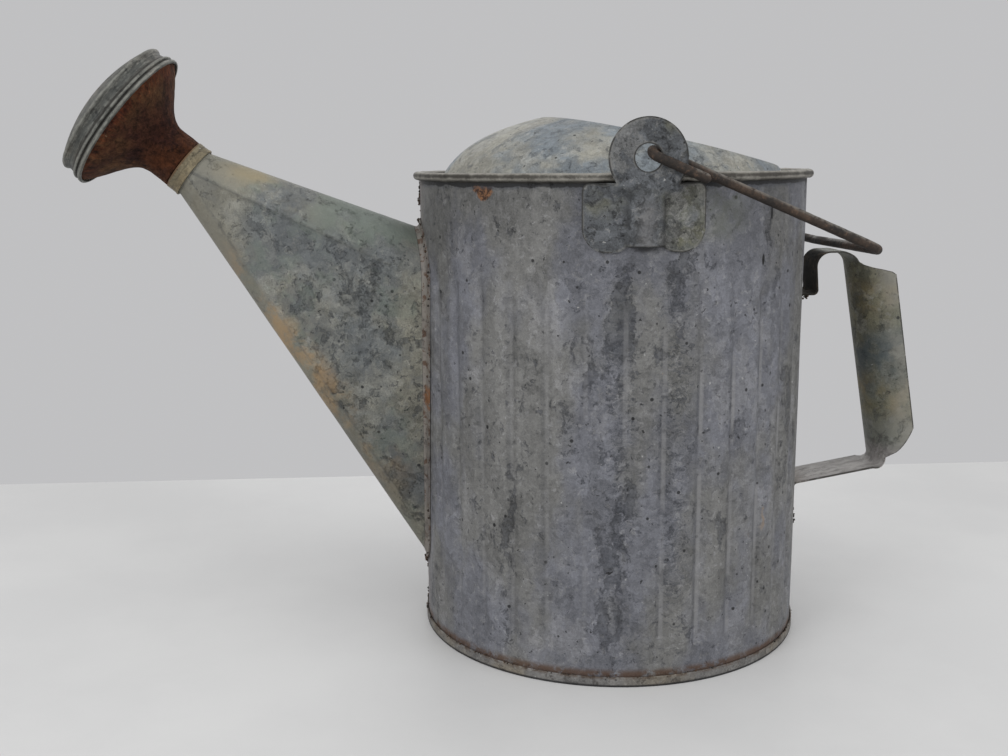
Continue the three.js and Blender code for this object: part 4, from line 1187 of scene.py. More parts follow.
spout_zinc, place = finish("spout_zinc")
x, y, z = place.axes()
strip, fold, flange = (mark(place, name) for name in ("strip", "fold", "flange"))
strip = strip + 0.9 * (clouds(place, 55, 6, 0.68) - 0.5)
belly = strip.step(0.85, 1.2)
crest = strip.step(-0.85, -1.2)
flat_side = 1 - belly - crest
colour, relief, frayed = zinc(
    place,
    SPOUT_COOL,
    SPOUT_WARM,
    SPOUT_DARK,
    SPOUT_PALE,
    tall=0.9,
    shabby=0.030 * flat_side - 0.02,
)

# Stains: slate all over, sage and pale along the crest, gold at the tip and ochre under the belly.
drift = clouds(frayed, 26, 5, 0.62)
slate = clouds(frayed.vector("ADD", (0.7, 0.2, 0.4)), 30, 6, 0.66).step(0.50, 0.60)
colour = (0.45 * slate).mix(colour, SLATE)
toward_tip = x.step(-0.135, -0.185)
colour = (0.6 * crest * toward_tip * drift.step(0.34, 0.56)).mix(colour, CREST_PALE)
sage = crest * x.step(-0.185, -0.155) * drift.step(0.40, 0.56)
sage = sage.math("MAXIMUM", 0.6 * clouds(frayed, 34, 5, 0.64).step(0.54, 0.64))
colour = (0.6 * sage).mix(colour, SAGE)
colour = (0.8 * spot(frayed, GOLD_PLACE, GOLD_HALF_SIZE, 0.7)).mix(colour, GOLD)
colour = (0.5 * belly * z.step(0.030, 0.100)).mix(colour, BELLY_VEIL)
ochre = (strip + 0.9 * drift - 0.45).step(0.58, 1.1) * z.step(0.060, 0.155)
ochre = ochre * x.step(-0.224, -0.202) * clouds(frayed, 38, 6, 0.66).step(0.45, 0.60)
colour = (0.8 * ochre).mix(colour, OCHRE)
# A painted highlight along a crease of the flat side.
crease = bell(strip, -0.28, 0.16) * x.step(-0.185, -0.17) * x.step(-0.125, -0.14)
crease = 0.5 * crease * clouds(frayed, 60, 5, 0.6).step(0.36, 0.54)
colour = crease.mix(colour, CREASE_HIGHLIGHT)
tip_wash = x.step(-0.190, -0.222) * drift.step(0.30, 0.52)
colour = (0.55 * tip_wash).mix(colour, TIP_WASH)
colour = colour.scaled(1 - 0.16 * z.step(0.175, 0.10))

# The folds beside the flat sides, with painted shade on the flat side and a painted highlight on the
# round side, and the soldered flange with its rust and a painted shadow in the slit at its edge.
fold_line = fold.step(1.5, 0.3) * clouds(frayed, 70, 4, 0.6).step(0.36, 0.56)
colour = (0.5 * fold_line * flat_side).mix(colour, FOLD_SHADE)
colour = (0.3 * fold_line * (belly + crest)).mix(colour, FOLD_HIGHLIGHT)
solder = flange.step(0.3, 0.6)
colour = (0.7 * solder).mix(colour, SOLDER)
scab = solder * clouds(frayed, 190, 5, 0.7).step(0.54, 0.575)
colour = (0.85 * scab).mix(colour, SCAB)
orange = spot(frayed, ORANGE_PLACE, ORANGE_HALF_SIZE, 0.4)
orange = orange * clouds(frayed, 260, 5, 0.7).step(0.40, 0.52)
colour = (0.9 * orange).mix(colour, ORANGE)
# Painted shadow in the slit between the flange and the wall.
slit = bell(flange, 0.35, 0.3) * clouds(frayed, 60, 4, 0.6).step(0.42, 0.52)
colour = (0.75 * slit).mix(colour, SOOT_AND_SHADOW)
seal(spout_zinc, colour, relief, depth=0.45 * MM, roughness=0.6, metallic=0.4)
columns = foot_columns(arc_steps=26, flat_steps=32, tip_half=TIP_SIDE_HALF)
outer = [spout_side(c, 0, SPOUT_FLANGE_UNDER + SPOUT_SHEET) for c in columns]
inner = [spout_side(c, -SPOUT_SHEET, SPOUT_FLANGE_UNDER) for c in columns]
rings = []
marks = {"strip": [], "fold": [], "flange": []}
for lines, order in ((outer, 1), (inner, -1)):
    for row in range(len(outer[0][0]))[::order]:
        rings.append([line[row] * MM for line, _ in lines])
        marks["fold"] += [near[row] for _, near in lines]
        marks["flange"] += [1.0 if row > SPOUT_ROWS + 1 else 0.0] * len(columns)
        for foot, share, _ in columns:
            past_fold = abs(foot) - FOOT_SIDE_ANGLE
            arched = past_fold / (math.pi - FOOT_SIDE_ANGLE if share else FOOT_SIDE_ANGLE)
            marks["strip"].append(2 * share - 1 + arched)
spout = made("spout_tube", *skinned(rings, True), spout_zinc)
for name, values in marks.items():
    noted(spout.data, name, values)
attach(spout, "can")
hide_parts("spout")

# The collar: a short zinc ring with a beaded edge, soldered round the spout's tip
# where the rose is pushed in. Its profile is in millimetres, along the tip's axis.
COLLAR_PROFILE = [
    (14.0, 0.4),
    (15.1, 0.4),
    (15.1, 1.3),
    (14.8, 1.9),
    (14.8, 4.0),
    (14.65, 4.3),
    (14.8, 4.6),
    (14.8, 7.7),
    (14.0, 7.7),
]
COLLAR_ROUNDING = 0.3
COLLAR_COOL = (0.164, 0.140, 0.090, 1)
COLLAR_WARM = (0.196, 0.158, 0.094, 1)
COLLAR_DARK = (0.086, 0.070, 0.044, 1)
COLLAR_PALE = (0.240, 0.200, 0.130, 1)
COLLAR_RUST = (0.125, 0.066, 0.028, 1)
COLLAR_GROOVE = (0.075, 0.065, 0.045, 1)
ROUND_STEPS = 96
TIP_PLACE = Matrix.Translation(TIP_CENTRE * MM) @ TIP_AXIS.to_track_quat("Z", "Y").to_matrix().to_4x4()


def from_tip(place):
    """How far places lie along the tip's axis, and above that axis."""
    away = place.vector("SUBTRACT", tuple(TIP_CENTRE * MM))
    return [away.vector("DOT_PRODUCT", tuple(axis), out="Value") for axis in (TIP_AXIS, TIP_UP)]


collar_zinc, place = finish("collar_zinc")
colour, relief, frayed = zinc(
    place,
    COLLAR_COOL,
    COLLAR_WARM,
    COLLAR_DARK,
    COLLAR_PALE,
    tall=1.0,
    shabby=-0.06,
)
along = from_tip(place)[0]
joint = along.step(0.0062, 0.0074) * clouds(frayed, 150, 5, 0.7).step(0.34, 0.52)
colour = (0.9 * joint).mix(colour, COLLAR_RUST)
ring_line = bell(along, 0.0043, 0.0007) * clouds(frayed, 120, 4, 0.6).step(0.38, 0.52)
colour = (0.6 * ring_line).mix(colour, COLLAR_GROOVE)
seal(collar_zinc, colour, relief, depth=0.3 * MM, roughness=0.6, metallic=0.35)
collar_outline = softened(COLLAR_PROFILE, COLLAR_ROUNDING)
collar = turned("collar_ring", collar_outline, ROUND_STEPS, collar_zinc, TIP_PLACE)
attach(collar, "can")
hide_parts("spout_collar")

# The rose's cone: spun sheet steel, gone deep brown with rust. Its tail slides into the spout's
# tip and can be pulled out to clean the rose.
# Sizes are in millimetres, along the tip's axis.
CONE_TAIL = 12.6
CONE_TAIL_END = -8.0
CONE_NECK = 14.4
CONE_RIM = 40.6
CONE_SHEET = 0.8
CONE_BEVEL = 0.5
CONE_START = 8.0
CONE_NECK_END = 19.0
CONE_FLARE_END = 44.0
CONE_END = 44.8
CONE_FLARE_STEPS = 30
CONE_COLUMNS = 144
CONE_SMOOTH_POINTS = 3
CONE_RUST_LUMP = 0.22
CONE_RUST_SIZE = 5
CONE_SHINE = 0.12
CONE_HEART = TIP_CENTRE + TIP_AXIS * 31 + TIP_UP * 6 - Vector((0, 22, 0))
CONE_HEART_HALF_SIZE = (0.018, 0.022, 0.018)
CONE_DARK = (0.022, 0.009, 0.007, 1)
CONE_BROWN = (0.050, 0.020, 0.011, 1)
CONE_NECK_RUST = (0.046, 0.016, 0.007, 1)
CONE_GOLDEN = (0.080, 0.042, 0.018, 1)
CONE_RED = (0.094, 0.025, 0.010, 1)
CONE_HEART_DARK = (0.020, 0.007, 0.006, 1)
CONE_FLECK = (0.22, 0.15, 0.09, 1)
CONE_SCRAPE = (0.150, 0.082, 0.048, 1)

span = CONE_FLARE_END - CONE_NECK_END
flare_bends = [
    Vector((CONE_NECK, CONE_NECK_END)),
    Vector((CONE_NECK, CONE_NECK_END + 0.42 * span)),
    Vector((CONE_NECK + 0.55 * (CONE_RIM - CONE_NECK), CONE_NECK_END + 0.6 * span)),
    Vector((CONE_RIM, CONE_END)),
]
flare = []
for k in range(CONE_FLARE_STEPS + 1):
    bends = flare_bends
    while len(bends) > 1:
        bends = [a.lerp(b, k / CONE_FLARE_STEPS) for a, b in zip(bends, bends[1:])]
    flare.append(tuple(bends[0]))
cone_outer = [
    (CONE_TAIL, CONE_TAIL_END),
    (CONE_TAIL, CONE_START),
    (CONE_NECK - CONE_BEVEL, CONE_START),
    *((CONE_NECK, CONE_START + CONE_BEVEL + k) for k in range(0, 10, 2)),
    *flare,
]
cone_inner = [(r - CONE_SHEET, s + CONE_SHEET / 2) for r, s in reversed(flare)]
cone_inner += [
    (CONE_NECK - CONE_SHEET, CONE_START + CONE_SHEET),
    (CONE_TAIL - CONE_SHEET, CONE_START + CONE_SHEET),
    (CONE_TAIL - CONE_SHEET, CONE_TAIL_END),
]


def cone_swell(number, angle):
    """Scabs of rust on the outside of the cone, apart from its tail and its rim."""
    if number < CONE_SMOOTH_POINTS or number >= len(cone_outer) - 1:
        return 0.0
    radius, along = cone_outer[number]
    spot_on_cone = Vector((radius * math.cos(angle), radius * math.sin(angle), along))
    return CONE_RUST_LUMP * noise.fractal(spot_on_cone / CONE_RUST_SIZE, 0.9, 2.0, 4)


rose_rust, place = finish("rose_rust")
along, up = from_tip(place)
across = place.axes()[1]
spoke = (up * up + across * across).math("SQRT")
round_turn = across.math("ARCTAN2", up)
scab = torn(place, 160, 0.006)
blotch = clouds(scab, 60, 7, 0.68)
crumb = clouds(place, 700, 4, 0.75)
grit = clouds(scab, 260, 5, 0.75)
colour = blotch.step(0.42, 0.58).mix(CONE_DARK, CONE_BROWN)
near_neck = along.step(0.031, 0.018) * clouds(scab, 90, 5, 0.6).step(0.40, 0.58)
colour = near_neck.mix(colour, CONE_NECK_RUST)
golden = clouds(scab, 24, 4, 0.6).step(0.50, 0.60) * spoke.step(0.018, 0.032)
golden = golden.math("MAXIMUM", up.step(-0.008, -0.026) * clouds(scab, 60, 5, 0.6).step(0.34, 0.6))
colour = (0.55 * golden).mix(colour, CONE_GOLDEN)
ray_place = place.node("ShaderNodeCombineXYZ", {}, {"X": round_turn, "Y": spoke * 4.0})
rays_of_rust = clouds(ray_place, 30, 5, 0.65).step(0.44, 0.60)
rim_zone = spoke.step(0.030, 0.0385)
colour = (rim_zone * (0.12 + 0.52 * rays_of_rust)).mix(colour, CONE_RED)
heart = spot(scab, tuple(CONE_HEART * MM), CONE_HEART_HALF_SIZE, 0.8)
colour = (0.45 * heart).mix(colour, CONE_HEART_DARK)
colour = colour.scaled((2.4 * crumb + 4.6 * grit - 2.3).math("MAXIMUM", 0.12))
fleck = specks(scab, 130, 0.10, 0.10)
colour = (fleck * 0.6).mix(colour, CONE_FLECK)
scrape = clouds(ray_place, 75, 2, 0.5).step(0.66, 0.69) * spoke.step(0.016, 0.022)
colour = (0.4 * scrape).mix(colour, CONE_SCRAPE)
relief = crumb + grit + 0.8 * blotch
seal(rose_rust, colour, relief, depth=0.9 * MM, roughness=0.86, metallic=0.0)
cone_shader = rose_rust.node_tree.nodes["Principled BSDF"]
cone_shader.inputs["Specular IOR Level"].default_value = CONE_SHINE
cone_outline = cone_outer + cone_inner
cone = turned("rose_cone_shell", cone_outline, CONE_COLUMNS, rose_rust, TIP_PLACE, cone_swell)
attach(cone, "rose")
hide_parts("rose_cone")

# The rose's face: a domed zinc cap with rings of spray holes. Beads are rolled into its band,
# and the last bead is crimped over the edge of the cone.
# Sizes without MM are in millimetres, along the tip's axis.
FACE_BACK = 44.0
FACE_BAND = [
    (41.2, -0.8),
    (41.7, -0.3),
    (41.7, 0.9),
    (41.2, 1.5),
    (40.5, 1.9),
    (40.5, 2.2),
    (41.2, 2.7),
    (41.4, 3.4),
    (41.0, 4.1),
    (40.2, 4.6),
    (39.8, 5.4),
    (39.4, 6.6),
    (39.2, 7.8),
    (39.3, 8.9),
    (39.6, 9.7),
    (40.2, 10.3),
    (40.4, 11.0),
    (40.0, 11.7),
]
FACE_FRONT = (39.3, 12.1)
FACE_DOME = 9.0
FACE_DOME_SET = 0.15
FACE_DOME_INSET = 0.3
FACE_SHEET = 0.8
FACE_DOME_STEPS = 24
HOLE_SIZES = {
    "Hole radius": 1.1 * MM,
    "Ring pitch": 7.2 * MM,
    "Drill depth": 30 * MM,
    "Drill place": 65 * MM,
    "Hole sides": 14,
}
HOLE_RINGS = 4
FACE_COOL = (0.096, 0.097, 0.087, 1)
FACE_WARM = (0.116, 0.105, 0.083, 1)
FACE_DARK = (0.044, 0.045, 0.041, 1)
FACE_PALE = (0.185, 0.172, 0.152, 1)
FACE_HOLLOW_SHADE = (0.040, 0.044, 0.042, 1)
FACE_BEAD_HIGHLIGHT = (0.255, 0.256, 0.230, 1)
FACE_SLIT_SHADE = (0.020, 0.018, 0.015, 1)
# Painted highlights on the beads and painted shade in the slits between them, as distances along the
# axis and half widths.
FACE_BEAD_HIGHLIGHTS = ((0.0445, 0.0013), (0.0474, 0.0010), (0.0550, 0.0012))
FACE_SLIT_SHADES = ((0.0460, 0.0010), (0.0489, 0.0012))

sphere = (FACE_FRONT[0] ** 2 + FACE_DOME**2) / (2 * FACE_DOME)
dome = []
for k in range(FACE_DOME_STEPS + 1):
    r = FACE_FRONT[0] * (1 - k / FACE_DOME_STEPS)
    dome.append((r, FACE_FRONT[1] + FACE_DOME - sphere + math.sqrt(sphere**2 - r * r)))
band = [(r, s + FACE_BACK) for r, s in FACE_BAND]
cap = [(r, s + FACE_BACK - FACE_DOME_SET) for r, s in dome]
under_cap = [(max(0.0, r - FACE_DOME_INSET), s - FACE_SHEET) for r, s in reversed(cap)]
under_band = [(r - FACE_SHEET, s) for r, s in reversed(band)]


def bells(value, rows):
    """Soft bands round several values, each with its half width."""
    return sum(bell(value, centre, half) for centre, half in rows).math("MINIMUM", 1.0)


rose_face_zinc, place = finish("rose_face_zinc")
colour, relief, frayed = zinc(place, FACE_COOL, FACE_WARM, FACE_DARK, FACE_PALE, tall=1.0)
along, up = from_tip(place)
round_turn = place.axes()[1].math("ARCTAN2", up)
ring_place = place.node("ShaderNodeCombineXYZ", {}, {"X": round_turn, "Y": along * 260.0})
rubbed = clouds(ring_place, 4.5, 6, 0.72)
rub_share = 1.5 + 4.0 * along.step(0.0568, 0.0555)
colour = colour.scaled((1 + rub_share * (rubbed - 0.5)).math("MAXIMUM", 0.25))
# Painted shade in the band's hollow and in the slits, and painted highlights on the beads.
hollow_shade = bell(along, 0.0515, 0.0026) * clouds(frayed, 120, 5, 0.7).step(0.34, 0.54)
colour = (0.65 * hollow_shade).mix(colour, FACE_HOLLOW_SHADE)
bead_highlight = bells(along, FACE_BEAD_HIGHLIGHTS) * clouds(frayed, 150, 5, 0.7).step(0.32, 0.56)
colour = (0.7 * bead_highlight).mix(colour, FACE_BEAD_HIGHLIGHT)
colour = (0.85 * bells(along, FACE_SLIT_SHADES)).mix(colour, FACE_SLIT_SHADE)
seal(rose_face_zinc, colour, relief, depth=0.25 * MM, roughness=0.58, metallic=0.4)
blank = turned("rose_blank", band + cap + under_cap + under_band, ROUND_STEPS, rose_face_zinc)
sizes = geometry_tree("spray_holes", HOLE_SIZES)
start = sizes["Geometry"]
drill = start.node(
    "GeometryNodeMeshCylinder",
    {},
    {
        "Vertices": sizes["Hole sides"],
        "Radius": sizes["Hole radius"],
        "Depth": sizes["Drill depth"],
    },
)
rings = [start.node("GeometryNodePoints", {}, {"Count": 1})]
for number in range(1, HOLE_RINGS + 1):
    inputs = {"Vertices": 6 * number, "Radius": number * sizes["Ring pitch"]}
    rings.append(start.node("GeometryNodeMeshCircle", {}, inputs))
centres = start.node("GeometryNodeJoinGeometry", {}, {"Geometry": rings})
drills = start.node("GeometryNodeInstanceOnPoints", {}, {"Points": centres, "Instance": drill})
drills = start.node("GeometryNodeRealizeInstances", {}, {"Geometry": drills})
ahead = start.node("ShaderNodeCombineXYZ", {}, {"Z": sizes["Drill place"]})
drills = start.node("GeometryNodeTransform", {}, {"Geometry": drills, "Translation": ahead})
drilled = start.node(
    "GeometryNodeMeshBoolean",
    {"operation": "DIFFERENCE", "solver": "EXACT"},
    {"Mesh 1": start, "Mesh 2": drills},
)
face = grown("rose_face_cap", drilled, HOLE_SIZES, rose_face_zinc, blank.data)
bpy.data.objects.remove(blank)
face.data.transform(TIP_PLACE)
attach(face, "rose")
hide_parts("rose_face")

# The rear handle: one zinc-coated strap, welded to the wall at both feet. Its middle is widened
# and rolled into a half-round grip whose smooth side faces the body.
# Sizes are in millimetres.
STRAP_SHEET = 1.0
STRAP_WALL_X = 108.8
STRAP_TAB_X = 119.3
STRAP_TAB_LEAN = 2
STRAP_TONGUE_Z = 190.5
STRAP_TOP_Z = 214.7
STRAP_UPPER_FOOT = 18
STRAP_LOWER_FOOT = 22
STRAP_BEND = 2.5
STRAP_ARCH = 8
STRAP_HALF_WIDTH = 12
STRAP_ROOT_HALF_WIDTH = 14
STRAP_LOW_Z = 78.5
STRAP_LOW_SLOPE = 0.176
GRIP_TOP_X = 138.6
GRIP_RADIUS = 20.5
GRIP_LEAN = 0.1726
GRIP_TOP_BEND = 7
GRIP_TOP_DROP = 16
GRIP_SHOULDER = 10
GRIP_BOTTOM_RISE = 21
GRIP_BOTTOM_BEND = 4
GRIP_TAPER = 16
GRIP_UNROLL = 10
GRIP_UNROLL_START = 0.6
GRIP_ROLL_IN = 8
GRIP_FAR_DROP = 4
GRIP_STATIONS = 60
GRIP_RUN_ABOVE = 9.5
GRIP_RUN_BELOW = 13.5
STRAP_ACROSS = 28
STRAP_BEND_STEPS = 10
HANDLE_COOL = (0.130, 0.138, 0.122, 1)
HANDLE_WARM = (0.156, 0.148, 0.100, 1)
HANDLE_DARK = (0.054, 0.057, 0.048, 1)
HANDLE_PALE = (0.230, 0.226, 0.205, 1)
GRIP_STAIN = (0.250, 0.190, 0.085, 1)
# The two stains on the grip, as heights and half heights.
GRIP_STAINS = ((0.130, 0.020), (0.188, 0.014))
GRIP_LOW = (0.225, 0.234, 0.218, 1)
GRIP_BLUE = (0.074, 0.092, 0.100, 1)
GRIP_RUBBED_AND_LIT = (0.280, 0.268, 0.236, 1)
GRIP_FOOT_HALF_SIZE = (0.011, 0.020, 0.014)
GRIP_FOOT_RISE = 8
GRIP_GRIME = (0.030, 0.026, 0.020, 1)
STRAP_DULL = (0.260, 0.243, 0.234, 1)
STRAP_BRIGHT = (0.480, 0.455, 0.440, 1)
STRAP_RUST = (0.165, 0.120, 0.090, 1)
STRAP_EDGE_DIRT_AND_SHADE = (0.026, 0.023, 0.018, 1)
TAB_SHADE = (0.011, 0.009, 0.006, 1)
TAB_RUST = (0.050, 0.034, 0.020, 1)

low_run = GRIP_TOP_X + GRIP_LEAN * (STRAP_TOP_Z - STRAP_LOW_Z) - STRAP_WALL_X
low_x = STRAP_WALL_X + low_run / (1 + GRIP_LEAN * STRAP_LOW_SLOPE)
low_z = STRAP_LOW_Z + STRAP_LOW_SLOPE * (low_x - STRAP_WALL_X)
grip_top = STRAP_TOP_Z - GRIP_TOP_DROP
grip_bottom = low_z + GRIP_BOTTOM_RISE


def strap_section(point, drop):
    """Half width and curl of the strap at a point of its path, with its shoulder lowered by a drop."""
    on_grip = 1.0 if point.x > GRIP_TOP_X - STRAP_BEND else 0.0
    rise = min(1.0, max(0.0, (grip_top + GRIP_SHOULDER - drop - point.z) / GRIP_SHOULDER))
    fall = math.sqrt(min(1.0, max(0.0, (point.z - grip_bottom + GRIP_TAPER) / GRIP_TAPER)))
    upper = point.z > (grip_top + grip_bottom) / 2
    narrow = STRAP_HALF_WIDTH if upper else STRAP_ROOT_HALF_WIDTH
    wide = on_grip * min(eased(rise), fall)
    unroll = GRIP_UNROLL_START + (point.x - low_x + point.z - low_z) / GRIP_UNROLL
    curl = on_grip * min(eased((STRAP_TOP_Z - point.z) / GRIP_ROLL_IN), eased(unroll)) / GRIP_RADIUS
    return narrow + wide * (math.pi / 2 * GRIP_RADIUS - narrow), curl


def strap_ring(point, ahead):
    """A section across the strap: its inner face, then its outer face."""
    outward = Vector((-ahead.z, 0, ahead.x))
    sections = (strap_section(point, 0), strap_section(point, GRIP_FAR_DROP))
    faces = []
    edges = []
    for thick in (-STRAP_SHEET / 2, STRAP_SHEET / 2):
        face = []
        for k in range(STRAP_ACROSS + 1):
            half_width, curl = sections[0 if 2 * k < STRAP_ACROSS else 1]
            v = half_width * (2 * k / STRAP_ACROSS - 1)
            roll = v * curl
            sideways = math.sin(roll) / curl if curl else v
            away = (1 - math.cos(roll)) / curl if curl else 0.0
            normal = outward * math.cos(roll) - Vector((0, math.sin(roll), 0))
            place_on_strap = point + outward * away + normal * thick + Vector((0, sideways, 0))
            face.append(place_on_strap * MM)
            edges.append(half_width - abs(v))
        faces.append(face)
    return faces[0] + faces[1][::-1], edges


handle_zinc, place = finish("handle_zinc")
x, y, z = place.axes()
colour, relief, frayed = zinc(
    place,
    HANDLE_COOL,
    HANDLE_WARM,
    HANDLE_DARK,
    HANDLE_PALE,
    tall=0.8,
    shabby=-0.005,
)
drift = clouds(frayed, 40, 5, 0.62)
stain = bells(z, GRIP_STAINS) * drift.step(0.42, 0.60)
colour = (0.7 * stain).mix(colour, GRIP_STAIN)
low_grip = z.step(0.124, 0.108)
colour = (0.6 * low_grip).mix(colour, GRIP_LOW)
blue = bell(z, 0.156, 0.020) * clouds(frayed, 60, 5, 0.64).step(0.44, 0.58)
colour = (0.75 * blue).mix(colour, GRIP_BLUE)
# The grip's outer side is paler: rubbed zinc and a painted highlight.
outer_part = (x + GRIP_LEAN * z).step(0.180, 0.192)
colour = (0.6 * outer_part * drift.step(0.34, 0.56)).mix(colour, GRIP_RUBBED_AND_LIT)
grip_foot = (low_x * MM, -STRAP_HALF_WIDTH * MM, (low_z + GRIP_FOOT_RISE) * MM)
foot_grime = spot(frayed, grip_foot, GRIP_FOOT_HALF_SIZE, 0.6)
foot_grime = foot_grime * clouds(frayed, 130, 5, 0.7).step(0.45, 0.54)
colour = (0.8 * foot_grime).mix(colour, GRIP_GRIME)
lower_strap = z.step(0.104, 0.094)
strap_tone = clouds(frayed.vector("MULTIPLY", (0.15, 1.0, 1.0)), 260, 5, 0.7).step(0.36, 0.64)
strap_colour = strap_tone.mix(STRAP_DULL, STRAP_BRIGHT)
strap_colour = (0.5 * x.step(0.122, 0.110)).mix(strap_colour, STRAP_RUST)
colour = (0.8 * lower_strap).mix(colour, strap_colour)
# Dark edges of the strap: dirt and painted shade.
dark_edge_dirt_and_shade = mark(place, "edge").step(0.9, 0.3) * clouds(frayed, 110, 4, 0.6).step(0.36, 0.50)
colour = (0.85 * dark_edge_dirt_and_shade).mix(colour, STRAP_EDGE_DIRT_AND_SHADE)
# The upper tab's face towards the wall is painted near black as shade, with flecks of rust.
tab = x.step(0.126, 0.1215) * z.step(0.170, 0.184)
tab_rust = clouds(frayed, 170, 5, 0.7).step(0.50, 0.62)
colour = (0.92 * tab).mix(colour, tab_rust.mix(TAB_SHADE, TAB_RUST))
dull = 0.6 + 0.35 * tab
seal(handle_zinc, colour, relief, depth=0.45 * MM, roughness=dull, metallic=0.4 - 0.4 * tab)


def at(x, z):
    """A point in the can's middle plane."""
    return Vector((x, 0, z))


grip_run = grip_top - grip_bottom + GRIP_RUN_ABOVE + GRIP_RUN_BELOW
stations = []
for k in range(GRIP_STATIONS + 1):
    z = grip_top + GRIP_RUN_ABOVE - k / GRIP_STATIONS * grip_run
    stations.append((at(GRIP_TOP_X + GRIP_LEAN * (STRAP_TOP_Z - z), z), 0))
corners = [
    (at(STRAP_WALL_X, STRAP_TONGUE_Z - STRAP_UPPER_FOOT), 0),
    (at(STRAP_WALL_X, STRAP_TONGUE_Z), STRAP_BEND),
    (at(STRAP_TAB_X, STRAP_TONGUE_Z), STRAP_BEND),
    (at(STRAP_TAB_X - STRAP_TAB_LEAN, STRAP_TOP_Z), STRAP_ARCH),
    (at(GRIP_TOP_X, STRAP_TOP_Z), GRIP_TOP_BEND),
    *stations,
    (at(low_x, low_z), GRIP_BOTTOM_BEND),
    (at(STRAP_WALL_X, STRAP_LOW_Z), STRAP_BEND),
    (at(STRAP_WALL_X, STRAP_LOW_Z - STRAP_LOWER_FOOT), 0),
]
path = rounded_path(corners, STRAP_BEND_STEPS)
rings = []
edges = []
for k, point in enumerate(path):
    ahead = path[min(k + 1, len(path) - 1)] - path[max(k - 1, 0)]
    ring, ring_edges = strap_ring(point, ahead.normalized())
    rings.append(ring)
    edges += ring_edges
handle = made("rear_handle_strap", *skinned(rings, False), handle_zinc)
noted(handle.data, "edge", edges)
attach(handle, "can")
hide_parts("rear_handle")

# Dirt: dark crumbs of rust and old solder. They stick along the wall's seam, round the spout's
# flange, in the seam of the bottom, at the handle's lower foot and at the end of its upper tab.
# Places are in millimetres.
CRUMB_SIZES = {
    "Crumb radius": 1.0 * MM,
    "Smallest": 0.4,
    "Largest": 1.2,
    "Raggedness": 1.1 * MM,
    "Seed": 11,
}
CRUMB_DARK = (0.016, 0.013, 0.010, 1)
CRUMB_RUST = (0.080, 0.044, 0.024, 1)
# Each clump on the wall's seam has a height, a spread, a count and how far it stands out.
SEAM_CLUMPS = (
    (252, 3.5, 34, 0.4),
    (246, 1.4, 12, 1.3),
    (237, 3.0, 10, 0.2),
    (33, 3.0, 12, 0.3),
    (12, 3.0, 14, 0.3),
)
SEAM_RADIUS = 108.0
SEAM_HALF_ANGLE = 0.02
FLANGE_CRUMBS = 70
BOTTOM_CRUMBS = 90
BOTTOM_SEAM_RADIUS = 109.2
FOOT_CRUMBS = 9
FOOT_RADIUS = 109.8
TAB_CRUMBS = 9
draw = random.Random(23)
crumbs = []


def crumb(radius, angle, height, size):
    """Puts a crumb at a distance from the can's axis, in millimetres."""
    crumbs.append((Vector((radius * math.cos(angle), radius * math.sin(angle), height)) * MM, size))


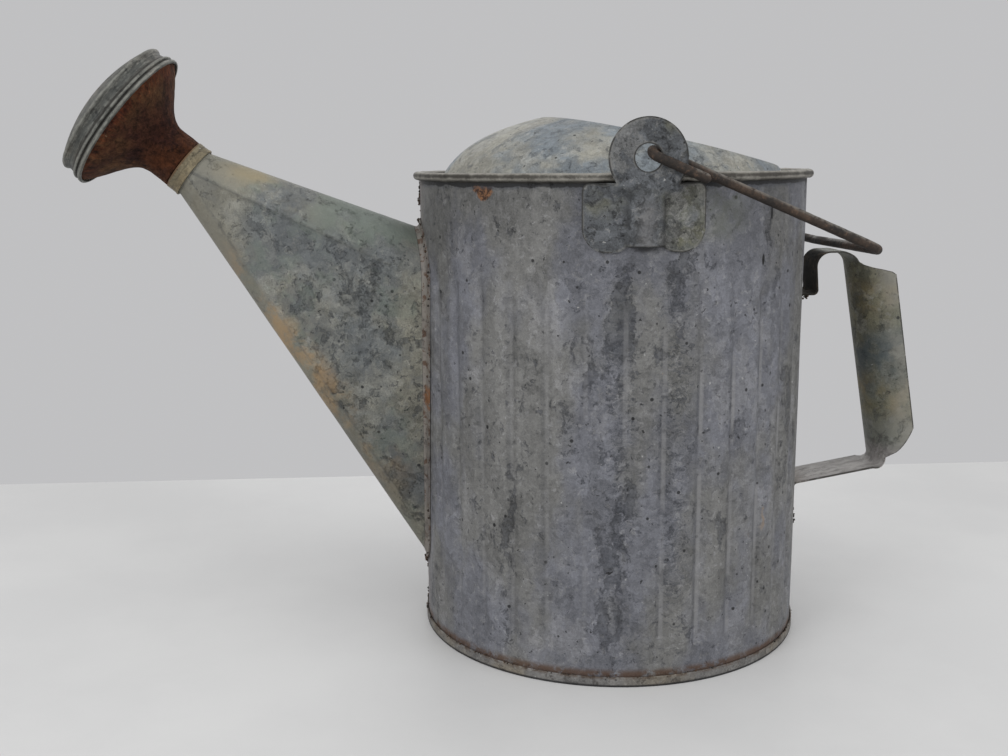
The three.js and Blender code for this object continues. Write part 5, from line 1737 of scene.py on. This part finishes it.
for middle, spread, count, reach in SEAM_CLUMPS:
    for k in range(count):
        size = draw.uniform(0.25, 0.8)
        radius = SEAM_RADIUS + draw.uniform(0, reach)
        angle = math.pi + draw.gauss(0, SEAM_HALF_ANGLE)
        crumb(radius, angle, draw.gauss(middle, spread), size)
for k in range(FLANGE_CRUMBS):
    column = columns[draw.randrange(len(columns))]
    spread = draw.uniform(SPOUT_FILLET, SPOUT_FLANGE + 0.5)
    crumb_place = foot_point(column, spread, SPOUT_FLANGE_UNDER + 1.0) * MM
    crumbs.append((crumb_place, draw.uniform(0.35, 0.8)))
for k in range(BOTTOM_CRUMBS):
    angle = draw.uniform(-math.pi, math.pi)
    crumb(BOTTOM_SEAM_RADIUS, angle, draw.uniform(5.3, 6.2), draw.uniform(0.25, 0.6))
for k in range(FOOT_CRUMBS):
    radius = FOOT_RADIUS + draw.uniform(0, 1.2)
    crumb(radius, draw.uniform(-0.13, -0.09), draw.uniform(54, 63), 0.9)
for k in range(TAB_CRUMBS):
    tab_end = Vector((draw.uniform(109.5, 113.5), -draw.uniform(9, 12), draw.uniform(187.5, 190.5)))
    crumbs.append((tab_end * MM, draw.uniform(0.4, 1.1)))

crumb_rust, place = finish("crumb_rust")
colour = clouds(place, 240, 5, 0.7).step(0.46, 0.62).mix(CRUMB_DARK, CRUMB_RUST)
grain = clouds(place, 900, 3, 0.7)
seal(crumb_rust, colour, grain, depth=0.3 * MM, roughness=0.85, metallic=0.0)
crumb_mesh = bpy.data.meshes.new("crumb_places")
crumb_mesh.from_pydata([spot_of_crumb for spot_of_crumb, _ in crumbs], [], [])
noted(crumb_mesh, "size", [size for _, size in crumbs])
sizes = geometry_tree("dirt_crumbs", CRUMB_SIZES)
start = sizes["Geometry"]
ball = start.node("GeometryNodeMeshIcoSphere", {}, {"Radius": sizes["Crumb radius"], "Subdivisions": 2})
size = start.node("GeometryNodeInputNamedAttribute", {"data_type": "FLOAT"}, {"Name": "size"})
share = start.node(
    "FunctionNodeRandomValue",
    {"data_type": "FLOAT"},
    {2: sizes["Smallest"], 3: sizes["Largest"], "Seed": sizes["Seed"]},
    1,
)
tumble = start.node(
    "FunctionNodeRandomValue",
    {"data_type": "FLOAT_VECTOR"},
    {0: (0, 0, 0), 1: (math.tau, math.tau, math.tau), "Seed": sizes["Seed"]},
)
strewn = start.node(
    "GeometryNodeInstanceOnPoints",
    {},
    {"Points": start, "Instance": ball, "Rotation": tumble, "Scale": size * share},
)
strewn = start.node("GeometryNodeRealizeInstances", {}, {"Geometry": strewn})
lumps = sizes["Raggedness"] * (clouds(start.node("GeometryNodeInputPosition"), 700, 2) - 0.5)
outward = start.node("GeometryNodeInputNormal")
strewn = start.node("GeometryNodeSetPosition", {}, {"Geometry": strewn, "Offset": outward.scaled(lumps)})
dirt = grown("dirt_crumbs", strewn, CRUMB_SIZES, crumb_rust, crumb_mesh)
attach(dirt, "can")
